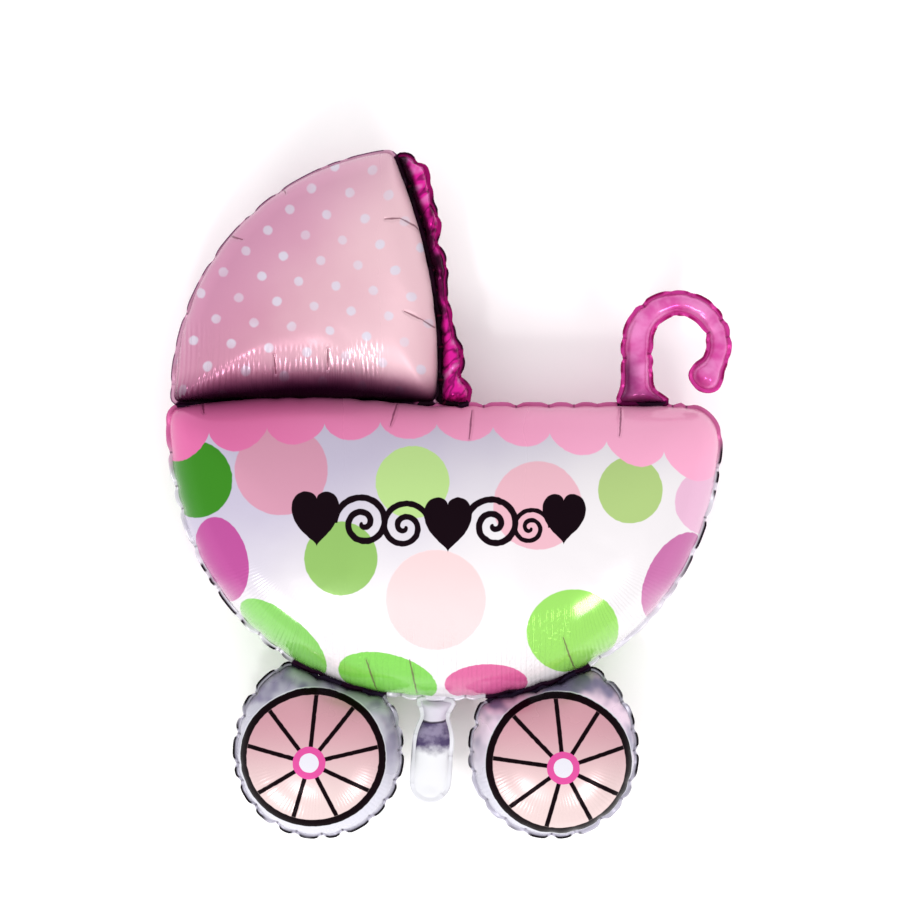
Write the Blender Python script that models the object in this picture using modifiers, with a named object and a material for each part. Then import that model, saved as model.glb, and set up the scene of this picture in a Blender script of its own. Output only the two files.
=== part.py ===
"""Pram-shaped foil balloon, lying on its back with its wheels towards -Y and its hood towards +Y.

Two sheets of printed foil are welded together along one outline and along the lines between the
chambers. The front sheet is laid out flat, each blown-up chamber raises it, and a mirror makes the
back sheet. Sizes are in metres, +Z is up, and the origin is on the floor under the middle.
"""

import math
from dataclasses import dataclass

import bmesh
import bpy
import numpy as np
from mathutils.geometry import delaunay_2d_cdt

# Plan sizes of the chambers. X and Y are measured from the middle of the bowl's rim.
BOWL_LENGTH = 0.552
BOWL_DEPTH = 0.293
BOWL_SQUARENESS = 2.22
BOWL_CORNER = 0.016
BOWL_NOSE_RADIUS = 0.040
BOWL_RIDGE = 0.250
HOOD_RADIUS = 0.246
HOOD_INSET = 0.005
HOOD_CENTRE_RISE = 0.007
HOOD_PEAK_SHIFT = -0.026
HOOD_FOOT_SHIFT = 0.018
HOOD_FRONT_BOW = 0.016
HOOD_CORNER = 0.006
WHEEL_RADIUS = 0.082
WHEEL_SPACING = 0.235
WHEEL_TUCK = 0.005
WHEEL_SHOULDER = 0.013
WHEEL_CORNER = 0.008
WHEELS_X = -0.009
FRILL_SHAPE = (
    (0.00, 0.027),
    (0.05, 0.029),
    (0.08, 0.023),
    (0.12, 0.017),
    (0.16, 0.020),
    (0.22, 0.019),
    (0.26, 0.012),
    (0.32, 0.011),
    (0.38, 0.009),
    (0.44, 0.008),
    (0.49, 0.009),
    (0.54, 0.014),
    (0.58, 0.013),
    (0.65, 0.009),
    (0.69, 0.014),
    (0.74, 0.019),
    (0.80, 0.015),
    (0.87, 0.020),
    (0.94, 0.022),
    (1.00, 0.006),
)
HANDLE_INSET = 0.084
HANDLE_RISE = 0.0600
HANDLE_CURL_RADIUS = 0.041
HANDLE_CURL_TURN = math.radians(212)
HANDLE_TIP_REACH = 0.019
HANDLE_WIDTH = 0.025
HANDLE_WIDTH_CURL = 0.018
HANDLE_WIDTH_TIP = 0.030
HANDLE_TIP_LENGTH = 0.026
HANDLE_WIDTH_FOOT = 0.056
HANDLE_FOOT_RISE = 0.022
HANDLE_FOOT_LEAN = 0.007
TAIL_NECK_WIDTH = 0.021
TAIL_NECK_DROP = 0.017
TAIL_MOUTH_WIDTH = 0.036
TAIL_WIDTH = 0.030
TAIL_BULGE_LENGTH = 0.046
TAIL_LENGTH = 0.098
TAIL_LEAN = math.radians(4)

# Thicknesses of the blown-up chambers, front to back.
BOWL_THICKNESS = 0.178
HOOD_THICKNESS = 0.132
WHEEL_THICKNESS = 0.092
FRILL_THICKNESS = 0.026
HANDLE_THICKNESS = 0.030
TAIL_THICKNESS = 0.014

# Welds, puckers, and the flat spot that the balloon lies on.
WELD_WIDTH = 0.004
BORDER_WIDTH = 0.004
BORDER_THICKNESS = 0.0012
PUCKER_SPACING = 0.025
NARROW_PUCKER_SPACING = 0.016
PUCKER_DEPTH = 0.0022
PUCKER_GROOVE = 0.24
BELLY_FLAT_DEPTH = 0.003

# How the foil swells: the share of the way from crown to weld, and the fullness between them.
PILLOW_RINGS = (0.98, 0.92, 0.82, 0.66, 0.36)
TUBE_RINGS = (0.94, 0.81, 0.45)
COARSE_RING_SHARE = 0.80
PILLOW_FULLNESS = 2.9
TUBE_FULLNESS = 2.1

FOIL_PINK = (0.86, 0.56, 0.69, 1.0)
FOIL_ROUGHNESS = 0.28
FOIL_METALLIC = 0.55

TUBE_END_SHARE = 0.06
TUBE_RIDGE_STEP = 4
TRACE_RAYS = 720
TRACE_STEPS = 40
SAME_POINT = 1e-5


@dataclass
class Chamber:
    """One blown-up chamber: its weld outline, the ridge under its crown, and its half thickness."""

    outline: np.ndarray
    ridge: np.ndarray
    heights: np.ndarray
    fullness: float
    rings: tuple[float, ...]
    pucker_spacing: float


def clear_scene():
    """Remove whatever the scene holds."""
    for obj in list(bpy.data.objects):
        bpy.data.objects.remove(obj)


def along(points, closed):
    """Distance run at each point of a line, with the closing stretch last where it is closed."""
    ends = np.roll(points, -1, axis=0) if closed else points[1:]
    starts = points if closed else points[:-1]
    return np.concatenate([[0.0], np.cumsum(np.linalg.norm(ends - starts, axis=1))])


def spaced(points, count, closed=True):
    """The same line with this many evenly spaced points."""
    run = along(points, closed)
    line = np.vstack([points, points[:1]]) if closed else points
    stops = np.linspace(0.0, run[-1], count, endpoint=not closed)
    return np.column_stack([np.interp(stops, run, line[:, k]) for k in range(2)])


def rounded(points, radius):
    """A closed outline with its corners eased over this radius."""
    even = spaced(points, TRACE_RAYS)
    reach = max(1, round(radius / (along(even, True)[-1] / TRACE_RAYS)))
    shifted = [np.roll(even, k, axis=0) for k in range(-reach, reach + 1)]
    return np.mean(shifted, axis=0)


def traced(hub, inside, reach):
    """Outline of the region round a hub, found along rays by halving."""
    angles = np.linspace(0.0, math.tau, TRACE_RAYS, endpoint=False)
    outline = []
    for angle in angles:
        direction = np.array([math.cos(angle), math.sin(angle)])
        near, far = 0.0, reach
        for _ in range(TRACE_STEPS):
            middle = (near + far) / 2
            if inside(*(hub + middle * direction)):
                near = middle
            else:
                far = middle
        outline.append(hub + near * direction)
    return np.array(outline)


def in_bowl(x, y, margin=0.0):
    """Whether a point below the rim lies inside the bowl's curve, widened by a margin."""
    across = abs(x) / (BOWL_LENGTH / 2 + margin)
    down = abs(y) / (BOWL_DEPTH + margin)
    return across**BOWL_SQUARENESS + down**BOWL_SQUARENESS < 1.0


def bowl_edge(across):
    """Depth of the bowl's curve below the rim at this distance from its middle."""
    share = min(1.0, abs(across) / (BOWL_LENGTH / 2))
    return BOWL_DEPTH * (1 - share**BOWL_SQUARENESS) ** (1 / BOWL_SQUARENESS)


def hood_centre():
    """X of the middle of the hood's arc, whose left end stands on the rim's left end."""
    return -BOWL_LENGTH / 2 + HOOD_INSET + HOOD_RADIUS


def hood_peak():
    """Height above the rim at which the hood's arc meets its front edge."""
    return HOOD_CENTRE_RISE + math.sqrt(HOOD_RADIUS**2 - HOOD_PEAK_SHIFT**2)


def front_edge(y):
    """X of the weld between the hood and its frill."""
    share = y / hood_peak()
    shift = HOOD_FOOT_SHIFT + (HOOD_PEAK_SHIFT - HOOD_FOOT_SHIFT) * share
    return hood_centre() + shift + 4 * HOOD_FRONT_BOW * share * (1 - share)


def in_hood(x, y):
    """Whether a point lies in the quarter round of the hood."""
    in_arc = math.hypot(x - hood_centre(), y - HOOD_CENTRE_RISE) < HOOD_RADIUS
    return in_arc and y > WELD_WIDTH / 2 and x < front_edge(y) - WELD_WIDTH / 2


def pillow(hub, inside, reach, corner, ridge, thickness):
    """A broad chamber round a hub."""
    outline = rounded(traced(np.array(hub), inside, reach), corner)
    heights = np.full(len(ridge), thickness / 2)
    return Chamber(outline, np.array(ridge), heights, PILLOW_FULLNESS, PILLOW_RINGS, PUCKER_SPACING)


def past_nose(x, y):
    """Whether a point lies outside the round of the rim's handle end."""
    across = x - (BOWL_LENGTH / 2 - BOWL_NOSE_RADIUS)
    up = y + BOWL_NOSE_RADIUS
    return across > 0 and up > 0 and math.hypot(across, up) > BOWL_NOSE_RADIUS


def bowl():
    """The pram's body, a half round under the rim."""
    depth = -BOWL_DEPTH * 0.48
    stops = np.linspace(-BOWL_RIDGE / 2, BOWL_RIDGE / 2, 15)
    return pillow(
        (0.0, depth),
        lambda x, y: y < -WELD_WIDTH / 2 and in_bowl(x, y) and not past_nose(x, y),
        BOWL_LENGTH,
        BOWL_CORNER,
        [(x, depth) for x in stops],
        BOWL_THICKNESS,
    )


def hood():
    """The quarter round that stands on the rim's left half."""
    hub = (hood_centre() - HOOD_RADIUS * 0.30, HOOD_RADIUS * 0.40)
    lean = HOOD_RADIUS * 0.14
    ridge = [(hub[0] + k * lean, hub[1] + k * lean) for k in np.linspace(-1, 1, 5)]
    return pillow(hub, in_hood, 2 * HOOD_RADIUS, HOOD_CORNER, ridge, HOOD_THICKNESS)


def wheel(side):
    """A round wheel with broad shoulders, whose top is cut by the bowl's weld."""
    drop = bowl_edge(WHEEL_SPACING / 2) + WHEEL_RADIUS - WHEEL_TUCK
    hub = (WHEELS_X + side * WHEEL_SPACING / 2, -drop)

    def inside(x, y):
        distance = math.dist((x, y), hub)
        rise = max(0.0, y - hub[1]) / max(distance, SAME_POINT)
        return distance < WHEEL_RADIUS + WHEEL_SHOULDER * rise**2 and not in_bowl(x, y, WELD_WIDTH)

    return pillow(
        hub,
        inside,
        2 * WHEEL_RADIUS,
        WHEEL_CORNER,
        [hub],
        WHEEL_THICKNESS,
    )


def tube(left, right, ridge, thickness, corner):
    """A narrow chamber between two sides, as thick as it is wide in proportion."""
    outline = rounded(np.vstack([left, right[::-1]]), corner)
    widths = np.linalg.norm(np.array(left) - np.array(right), axis=1)
    half = thickness / 2 * np.minimum(widths / np.median(widths), 1.3)
    ridge = np.array(ridge)
    run = along(ridge, False)
    keep = (run > run[-1] * TUBE_END_SHARE) & (run < run[-1] * (1 - TUBE_END_SHARE))
    line, half = ridge[keep][::TUBE_RIDGE_STEP], half[keep][::TUBE_RIDGE_STEP]
    return Chamber(outline, line, half, TUBE_FULLNESS, TUBE_RINGS, NARROW_PUCKER_SPACING)


def frill():
    """The gathered strip of lobes along the hood's front edge, wider at its foot."""
    peak = hood_peak()
    shares, widths = np.array(FRILL_SHAPE).T
    left, right = [], []
    for y in np.linspace(WELD_WIDTH / 2, peak * 0.985, 121):
        start = front_edge(y) + WELD_WIDTH / 2
        left.append((start, y))
        right.append((start + np.interp(y / peak, shares, widths), y))
    ridge = (np.array(left) + np.array(right)) / 2
    return tube(left, right, ridge, FRILL_THICKNESS, WELD_WIDTH)


def handle_length():
    """Length of the handle from the rim to its tip."""
    return HANDLE_RISE + HANDLE_CURL_RADIUS * HANDLE_CURL_TURN + HANDLE_TIP_REACH


def handle_line(run):
    """Point, direction and width of the handle at this distance from the rim."""
    total = handle_length()
    turned = min(max(0.0, run - HANDLE_RISE) / HANDLE_CURL_RADIUS, HANDLE_CURL_TURN)
    angle = math.pi - turned
    direction = np.array([math.sin(angle), -math.cos(angle)])
    flare = max(0.0, 1 - run / HANDLE_FOOT_RISE)
    point = np.array([BOWL_LENGTH / 2 - HANDLE_INSET + HANDLE_FOOT_LEAN * flare**2, min(run, HANDLE_RISE)])
    point += HANDLE_CURL_RADIUS * np.array([1 + math.cos(angle), math.sin(angle)])
    point += direction * max(0.0, run - (total - HANDLE_TIP_REACH))
    width = HANDLE_WIDTH + (HANDLE_WIDTH_CURL - HANDLE_WIDTH) * min(1.0, turned / (math.pi / 2))
    width += (HANDLE_WIDTH_FOOT - HANDLE_WIDTH) * flare**2
    swell = max(0.0, 1 - (total - run) / HANDLE_TIP_LENGTH)
    width += (HANDLE_WIDTH_TIP - HANDLE_WIDTH_CURL) * math.sin(swell * math.pi / 2)
    return point, direction, width


def handle():
    """The curled tube that stands on the rim's right end."""
    total = handle_length()
    left, right, ridge = [], [], []
    for run in np.linspace(WELD_WIDTH / 2, total, 161):
        point, direction, width = handle_line(run)
        end = max(0.0, 1 - (total - run) / (HANDLE_WIDTH_TIP / 2))
        half = width / 2 * math.sqrt(max(0.02, 1 - end**2))
        across = np.array([-direction[1], direction[0]]) * half
        left.append(point + across)
        right.append(point - across)
        ridge.append(point)
    return tube(left, right, ridge, HANDLE_THICKNESS, WELD_WIDTH)


def tail_line(run):
    """Point and width of the filling tail at this distance below the bowl's weld."""
    start = np.array([WHEELS_X, -bowl_edge(WHEELS_X) - WELD_WIDTH])
    lean = np.array([-math.sin(TAIL_LEAN), -math.cos(TAIL_LEAN)])
    if run < TAIL_NECK_DROP:
        share = 1 - run / TAIL_NECK_DROP
        return start + lean * run, TAIL_NECK_WIDTH + (TAIL_MOUTH_WIDTH - TAIL_NECK_WIDTH) * share**2
    share = min(1.0, (run - TAIL_NECK_DROP) / TAIL_NECK_DROP)
    return start + lean * run, TAIL_NECK_WIDTH + (TAIL_WIDTH - TAIL_NECK_WIDTH) * math.sin(share * math.pi / 2)


def tail_sides(first, last, spare):
    """Both sides of the tail between two distances, each widened by spare."""
    left, right, middle = [], [], []
    across = np.array([math.cos(TAIL_LEAN), -math.sin(TAIL_LEAN)])
    for run in np.linspace(first, last, 61):
        point, width = tail_line(run)
        end = max(0.0, 1 - (last - run) / (TAIL_WIDTH / 2))
        half = (width / 2 + spare) * math.sqrt(max(0.02, 1 - end**2))
        left.append(point - across * half)
        right.append(point + across * half)
        middle.append(point)
    return left, right, middle


def tail():
    """The blown-up upper part of the filling tail."""
    left, right, middle = tail_sides(0.0, TAIL_BULGE_LENGTH, 0.0)
    return tube(left, right, middle, TAIL_THICKNESS, WELD_WIDTH)


def tail_tab():
    """Outline of the flat film tab that the tail ends in."""
    left, right, _ = tail_sides(-WELD_WIDTH * 2, TAIL_LENGTH, BORDER_WIDTH)
    return rounded(np.vstack([left, right[::-1]]), WELD_WIDTH)


def anticlockwise(points):
    """The outline turned so that its inside is on the left."""
    x, y = points[:, 0], points[:, 1]
    area = np.sum(x * np.roll(y, -1) - np.roll(x, -1) * y)
    return points if area > 0 else points[::-1]


def outward(points):
    """Unit directions that point away from a closed outline's inside."""
    run = np.roll(points, -2, axis=0) - np.roll(points, 2, axis=0)
    across = np.column_stack([run[:, 1], -run[:, 0]])
    return across / np.linalg.norm(across, axis=1, keepdims=True)


def crimped(chamber):
    """The chamber's weld, with every second point drawn in at a pucker, and the border beyond it."""
    smooth = anticlockwise(chamber.outline)
    puckers = max(6, round(along(smooth, True)[-1] / chamber.pucker_spacing))
    even = spaced(smooth, 2 * puckers)
    away = outward(even)
    drawn_in = np.arange(2 * puckers) % 2 == 0
    weld = even - away * (PUCKER_DEPTH * drawn_in)[:, None]
    return weld, weld + away * BORDER_WIDTH, drawn_in


def crown_height(chamber, share, nearest, drawn_in):
    """Height of the foil at this share of the way from the ridge to the weld."""
    full = chamber.heights[nearest] * np.sqrt(1 - share**chamber.fullness)
    return full * (1 - PUCKER_GROOVE * share**3 * drawn_in)


def rings(chamber, weld, drawn_in):
    """Closed rings of (x, y, height) from the weld inwards, and the ridge's own points."""
    distances = np.linalg.norm(weld[:, None] - chamber.ridge[None], axis=2)
    nearest = distances.argmin(axis=1)
    anchors = chamber.ridge[nearest]
    made = [np.column_stack([weld, np.zeros(len(weld))])]
    for share in chamber.rings:
        step = 1 if share > COARSE_RING_SHARE else 2
        height = crown_height(chamber, share, nearest, drawn_in)
        ring = anchors + share * (weld - anchors)
        made.append(np.column_stack([ring, height])[::step])
    ridge = np.column_stack([chamber.ridge, chamber.heights])
    return made, ridge


def joined_outline(outlines):
    """The outer boundary of several overlapping outlines, as one closed loop."""
    points, faces = [], []
    for outline in outlines:
        faces.append(list(range(len(points), len(points) + len(outline))))
        points += [tuple(p) for p in outline]
    corners, _, triangles, _, _, _ = delaunay_2d_cdt(points, [], faces, 1, SAME_POINT)
    sides = {(a, b) for t in triangles for a, b in zip(t, t[1:] + t[:1])}
    following = {a: b for a, b in sides if (b, a) not in sides}
    loops = []
    while following:
        start, point = following.popitem()
        loop = [start]
        while point != start:
            loop.append(point)
            point = following.pop(point)
        loops.append(np.array([corners[k][:2] for k in loop]))
    return max(loops, key=lambda loop: along(loop, True)[-1])


def front_sheet(chambers, borders):
    """Points and triangles of the front sheet, from its border up to every crown."""
    outer = joined_outline(borders)
    loops = [np.column_stack([outer, np.full(len(outer), BORDER_THICKNESS / 2)])]
    loose = []
    for chamber, weld, drawn_in in chambers:
        made, ridge = rings(chamber, weld, drawn_in)
        for ring in made:
            ring[:, 2] += BORDER_THICKNESS / 2
        ridge[:, 2] += BORDER_THICKNESS / 2
        loops += made
        loose.append(ridge)
    points, edges = [], []
    for loop in loops:
        first = len(points)
        points += [tuple(p) for p in loop]
        edges += [(first + k, first + (k + 1) % len(loop)) for k in range(len(loop))]
    for ridge in loose:
        points += [tuple(p) for p in ridge]
    flat = [p[:2] for p in points]
    face = [list(range(len(outer)))]
    corners, _, triangles, origins, _, _ = delaunay_2d_cdt(flat, edges, face, 1, SAME_POINT)
    heights = [max((points[k][2] for k in origin), default=BORDER_THICKNESS / 2) for origin in origins]
    return [(x, y, z) for (x, y), z in zip(corners, heights)], triangles


def sheet_mesh(points, triangles):
    """Mesh of the front sheet whose border runs down to the plane between the sheets."""
    mesh = bpy.data.meshes.new("front_sheet")
    bm = bmesh.new()
    corners = [bm.verts.new(p) for p in points]
    for triangle in triangles:
        bm.faces.new([corners[k] for k in triangle])
    rim = [edge for edge in bm.edges if edge.is_boundary]
    grown = bmesh.ops.extrude_edge_only(bm, edges=rim)["geom"]
    for item in grown:
        if isinstance(item, bmesh.types.BMVert):
            item.co.z = 0.0
    loose = [vert for vert in bm.verts if not vert.link_faces]
    bmesh.ops.delete(bm, geom=loose, context="VERTS")
    bm.to_mesh(mesh)
    bm.free()
    return mesh


def printed_foil():
    """Material of the printed, metallised film."""
    material = bpy.data.materials.new("printed_foil")
    material.use_nodes = True
    shader = material.node_tree.nodes["Principled BSDF"]
    shader.inputs["Base Color"].default_value = FOIL_PINK
    shader.inputs["Roughness"].default_value = FOIL_ROUGHNESS
    shader.inputs["Metallic"].default_value = FOIL_METALLIC
    return material


def floor_cutter(collection):
    """Block below the floor that flattens the belly where the balloon lies."""
    depth = BOWL_THICKNESS
    bpy.ops.mesh.primitive_cube_add(size=1.0, location=(0.0, 0.0, -depth / 2))
    cutter = bpy.context.object
    cutter.name = "floor_cutter"
    cutter.scale = (4 * BOWL_LENGTH, 4 * BOWL_LENGTH, depth)
    cutter.hide_render = True
    cutter.display_type = "WIRE"
    for holder in cutter.users_collection:
        holder.objects.unlink(cutter)
    collection.objects.link(cutter)
    return cutter


def build():
    """Lay out the chambers, raise and mirror the foil, and set it on the floor."""
    clear_scene()
    parts = bpy.data.collections.new("pram_foil_balloon")
    cutters = bpy.data.collections.new("cutters")
    for collection in (parts, cutters):
        bpy.context.scene.collection.children.link(collection)

    chambers, borders = [], [tail_tab()]
    for chamber in (bowl(), hood(), wheel(-1), wheel(1), frill(), handle(), tail()):
        weld, border, drawn_in = crimped(chamber)
        chambers.append((chamber, weld, drawn_in))
        borders.append(border)
    points, triangles = front_sheet(chambers, borders)

    balloon = bpy.data.objects.new("foil_balloon", sheet_mesh(points, triangles))
    parts.objects.link(balloon)
    plan = np.array([p[:2] for p in points])
    middle = (plan.min(axis=0) + plan.max(axis=0)) / 2
    balloon.location = (-middle[0], -middle[1], BOWL_THICKNESS / 2 - BELLY_FLAT_DEPTH)
    balloon.data.materials.append(printed_foil())

    mirror = balloon.modifiers.new("back_sheet", "MIRROR")
    mirror.use_axis = (False, False, True)
    mirror.merge_threshold = SAME_POINT
    flat = balloon.modifiers.new("belly_flat", "BOOLEAN")
    flat.operation = "DIFFERENCE"
    flat.solver = "EXACT"
    flat.object = floor_cutter(cutters)
    balloon.data.shade_smooth()


build()
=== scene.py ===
"""Looks of the pram foil balloon: blown-up film, its welded border and its print.

The balloon lies on its back on a pale floor and the camera looks straight down on it. Its film is
laid out flat, chamber by chamber, and blown up by a cloth simulation. Plan sizes are in metres,
measured from the middle of the bowl's rim: +X to the handle, +Y to the hood.
"""

import logging
import math
from dataclasses import dataclass
from enum import Enum
from functools import reduce
from typing import Callable

import bpy
import numpy as np
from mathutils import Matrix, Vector
from mathutils.geometry import delaunay_2d_cdt

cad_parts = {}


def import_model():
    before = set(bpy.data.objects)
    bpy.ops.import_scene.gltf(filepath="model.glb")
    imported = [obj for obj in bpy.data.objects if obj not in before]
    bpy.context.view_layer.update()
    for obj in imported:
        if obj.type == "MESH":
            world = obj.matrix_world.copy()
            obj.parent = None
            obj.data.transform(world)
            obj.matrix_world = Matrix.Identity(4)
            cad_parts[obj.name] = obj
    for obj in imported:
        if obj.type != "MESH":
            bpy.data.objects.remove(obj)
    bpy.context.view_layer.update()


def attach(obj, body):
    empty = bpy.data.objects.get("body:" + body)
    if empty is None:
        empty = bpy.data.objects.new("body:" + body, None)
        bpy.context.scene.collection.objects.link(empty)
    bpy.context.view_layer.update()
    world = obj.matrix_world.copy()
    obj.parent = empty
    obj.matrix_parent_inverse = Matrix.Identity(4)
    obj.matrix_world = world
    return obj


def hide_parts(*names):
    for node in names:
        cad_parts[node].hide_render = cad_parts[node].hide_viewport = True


LOG = logging.getLogger("pram_foil_balloon")

Socket = bpy.types.NodeSocket
Colour = tuple[int, int, int]
Point = tuple[float, float]

# Place of the rim's middle in the CAD frame, and the height of the plane between the two sheets.
RIM_MIDDLE = (-0.00377, 0.09020)
WELD_HEIGHT = 0.0863
FLOOR_CLEARANCE = 0.0003

# Gap between the films of two chambers, and the welded border outside a film.
WELD_GAP = 0.004
BORDER_WIDTH = 0.004
BORDER_LAYER = 0.0004

FILM_SPACING = 0.0031
SETTLING = 0.6
BIG_FILM_PASSES = 4
TRACE_RAYS = 900
TRACE_HALVINGS = 30
LEAST_LENGTH = 1e-9

# Least share of a tube's width that is left at its rounded end, squared.
END_LEAST = 0.02

# How round a chamber is across: 2 is a circle, and more is fuller.
ROUND_TUBE = 2.2
FULL_CUSHION = 2.9

# Height of a chamber's profile as a share of its half width, and how finely it is followed.
PROFILE_HEIGHT = 0.6
PROFILE_STEPS = 400

# Share of a screen colour's light that a film gives back.
INK_SHARE = 0.72


class Part(Enum):
    """The chambers, each with the seed of its puckers."""

    BOWL = 11
    HOOD = 12
    WHEEL_LEFT = 13
    WHEEL_RIGHT = 14
    FRILL = 15
    HANDLE = 16
    TAIL = 17

    @property
    def label(self) -> str:
        """Name the chamber."""
        return self.name.lower()


@dataclass(frozen=True)
class Crimp:
    """How a chamber's weld is gathered: spacing and depth of its puckers, and how far they run in."""

    spacing: float
    drawn_in: float
    run_in: float
    groove: float
    unevenness: float


@dataclass(frozen=True)
class Chamber:
    """One blown-up chamber in plan, before it is blown up."""

    part: Part
    outline: np.ndarray
    ridge: np.ndarray
    swell: np.ndarray
    fullness: float
    spare: tuple[float, float]
    crimp: Crimp


@dataclass(frozen=True)
class Film:
    """A chamber's film as a mesh: its plan, the weld it ends in, and where each point lies on it."""

    chamber: Chamber
    plan: np.ndarray
    triangles: np.ndarray
    seam: np.ndarray
    loop: np.ndarray
    start: np.ndarray
    pinned: np.ndarray
    weld_run: np.ndarray
    share: np.ndarray
    crease: np.ndarray
    to_weld: np.ndarray


def run_along(points: np.ndarray, closed: bool) -> np.ndarray:
    """Measure the distance run along a line.

    Args:
        points: Points of the line.
        closed: Whether the last point joins the first.

    Returns:
        Distance at each point, with the closing stretch last where it is closed.
    """
    ends = np.roll(points, -1, axis=0) if closed else points[1:]
    starts = points if closed else points[:-1]
    return np.concatenate([[0.0], np.cumsum(np.linalg.norm(ends - starts, axis=1))])


def spaced(points: np.ndarray, count: int) -> np.ndarray:
    """Place points evenly round a closed line.

    Args:
        points: Points of the line.
        count: How many points to make.

    Returns:
        The evenly spaced points.
    """
    run = run_along(points, True)
    line = np.vstack([points, points[:1]])
    stops = np.linspace(0.0, run[-1], count, endpoint=False)
    return np.column_stack([np.interp(stops, run, line[:, k]) for k in range(2)])


def rounded(points: np.ndarray, radius: float) -> np.ndarray:
    """Ease the corners of a closed outline and turn it anticlockwise.

    Args:
        points: Points of the outline.
        radius: Length over which corners are eased.

    Returns:
        The eased outline.
    """
    even = spaced(points, TRACE_RAYS)
    reach = max(1, round(radius / (run_along(even, True)[-1] / TRACE_RAYS)))
    eased = np.mean([np.roll(even, k, axis=0) for k in range(-reach, reach + 1)], axis=0)
    x, y = eased.T
    area = np.sum(x * np.roll(y, -1) - np.roll(x, -1) * y)
    return eased if area > 0 else eased[::-1]


def traced(hub: Point, inside: Callable[[float, float], bool], reach: float) -> np.ndarray:
    """Find the outline of the region round a hub by halving along rays.

    Args:
        hub: A point inside the region.
        inside: Whether a point is in the region.
        reach: Length of the rays.

    Returns:
        The outline's points.
    """
    outline = []
    for angle in np.linspace(0.0, math.tau, TRACE_RAYS, endpoint=False):
        direction = np.array([math.cos(angle), math.sin(angle)])
        near, far = 0.0, reach
        for _ in range(TRACE_HALVINGS):
            middle = (near + far) / 2
            point = np.array(hub) + middle * direction
            near, far = (middle, far) if inside(point[0], point[1]) else (near, middle)
        outline.append(np.array(hub) + near * direction)
    return np.array(outline)


def outward(points: np.ndarray) -> np.ndarray:
    """Find the directions that point away from an anticlockwise outline.

    Args:
        points: Points of the outline.

    Returns:
        One unit vector for each point.
    """
    run = np.roll(points, -2, axis=0) - np.roll(points, 2, axis=0)
    across = np.column_stack([run[:, 1], -run[:, 0]])
    return across / np.maximum(np.linalg.norm(across, axis=1, keepdims=True), LEAST_LENGTH)


def enclosed(outline: np.ndarray, points: np.ndarray) -> np.ndarray:
    """Tell which points lie inside a closed outline.

    Args:
        outline: Points of the outline.
        points: Points to test.

    Returns:
        True for each point inside.
    """
    x, y = points.T
    hit = np.zeros(len(points), bool)
    for (x1, y1), (x2, y2) in zip(outline, np.roll(outline, -1, axis=0)):
        crosses = (y1 > y) != (y2 > y)
        if crosses.any():
            hit ^= crosses & (x < (x2 - x1) * (y - y1) / (y2 - y1) + x1)
    return hit


def rounded_end(left: float, width: float) -> float:
    """Narrow a tube towards its rounded end.

    Args:
        left: Length left before the end.
        width: The tube's width there.

    Returns:
        The share of the width that is left.
    """
    end = max(0.0, 1 - left / (width / 2))
    return math.sqrt(max(END_LEAST, 1 - end**2))


@dataclass(frozen=True)
class Bowl:
    """The pram's half-round body."""

    length: float = 0.552
    depth: float = 0.293
    squareness: float = 2.22
    nose_radius: float = 0.040
    corner: float = 0.016
    ridge: float = 0.250
    ridge_depth: float = 0.48
    ridge_points: int = 41
    swell: float = 0.0875
    spare: Point = (1.17, 1.31)
    crimp: Crimp = Crimp(spacing=0.030, drawn_in=0.0026, run_in=0.026, groove=0.20, unevenness=0.9)

    def contains(self, x: float, y: float, margin: float = 0.0) -> bool:
        """Tell whether a point lies within the bowl's curve.

        Args:
            x: Distance from the rim's middle.
            y: Height over the rim.
            margin: How much wider the curve is taken.

        Returns:
            True inside the curve.
        """
        across = abs(x) / (self.length / 2 + margin)
        down = abs(y) / (self.depth + margin)
        return across**self.squareness + down**self.squareness < 1.0

    def past_nose(self, x: float, y: float) -> bool:
        """Tell whether a point is cut off by the rounded nose at the rim's right end."""
        across, up = x - (self.length / 2 - self.nose_radius), y + self.nose_radius
        return across > 0 and up > 0 and math.hypot(across, up) > self.nose_radius

    def chamber(self) -> Chamber:
        """Lay out the bowl.

        Returns:
            The chamber.
        """

        def inside(x: float, y: float) -> bool:
            """Tell whether a point lies in the bowl."""
            return y < -WELD_GAP / 2 and self.contains(x, y) and not self.past_nose(x, y)

        depth = -self.depth * self.ridge_depth
        outline = rounded(traced((0.0, depth), inside, self.length), self.corner)
        across = np.linspace(-self.ridge / 2, self.ridge / 2, self.ridge_points)
        ridge = np.column_stack([across, np.full(self.ridge_points, depth)])
        swell = np.full(self.ridge_points, self.swell)
        return Chamber(Part.BOWL, outline, ridge, swell, FULL_CUSHION, self.spare, self.crimp)


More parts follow.
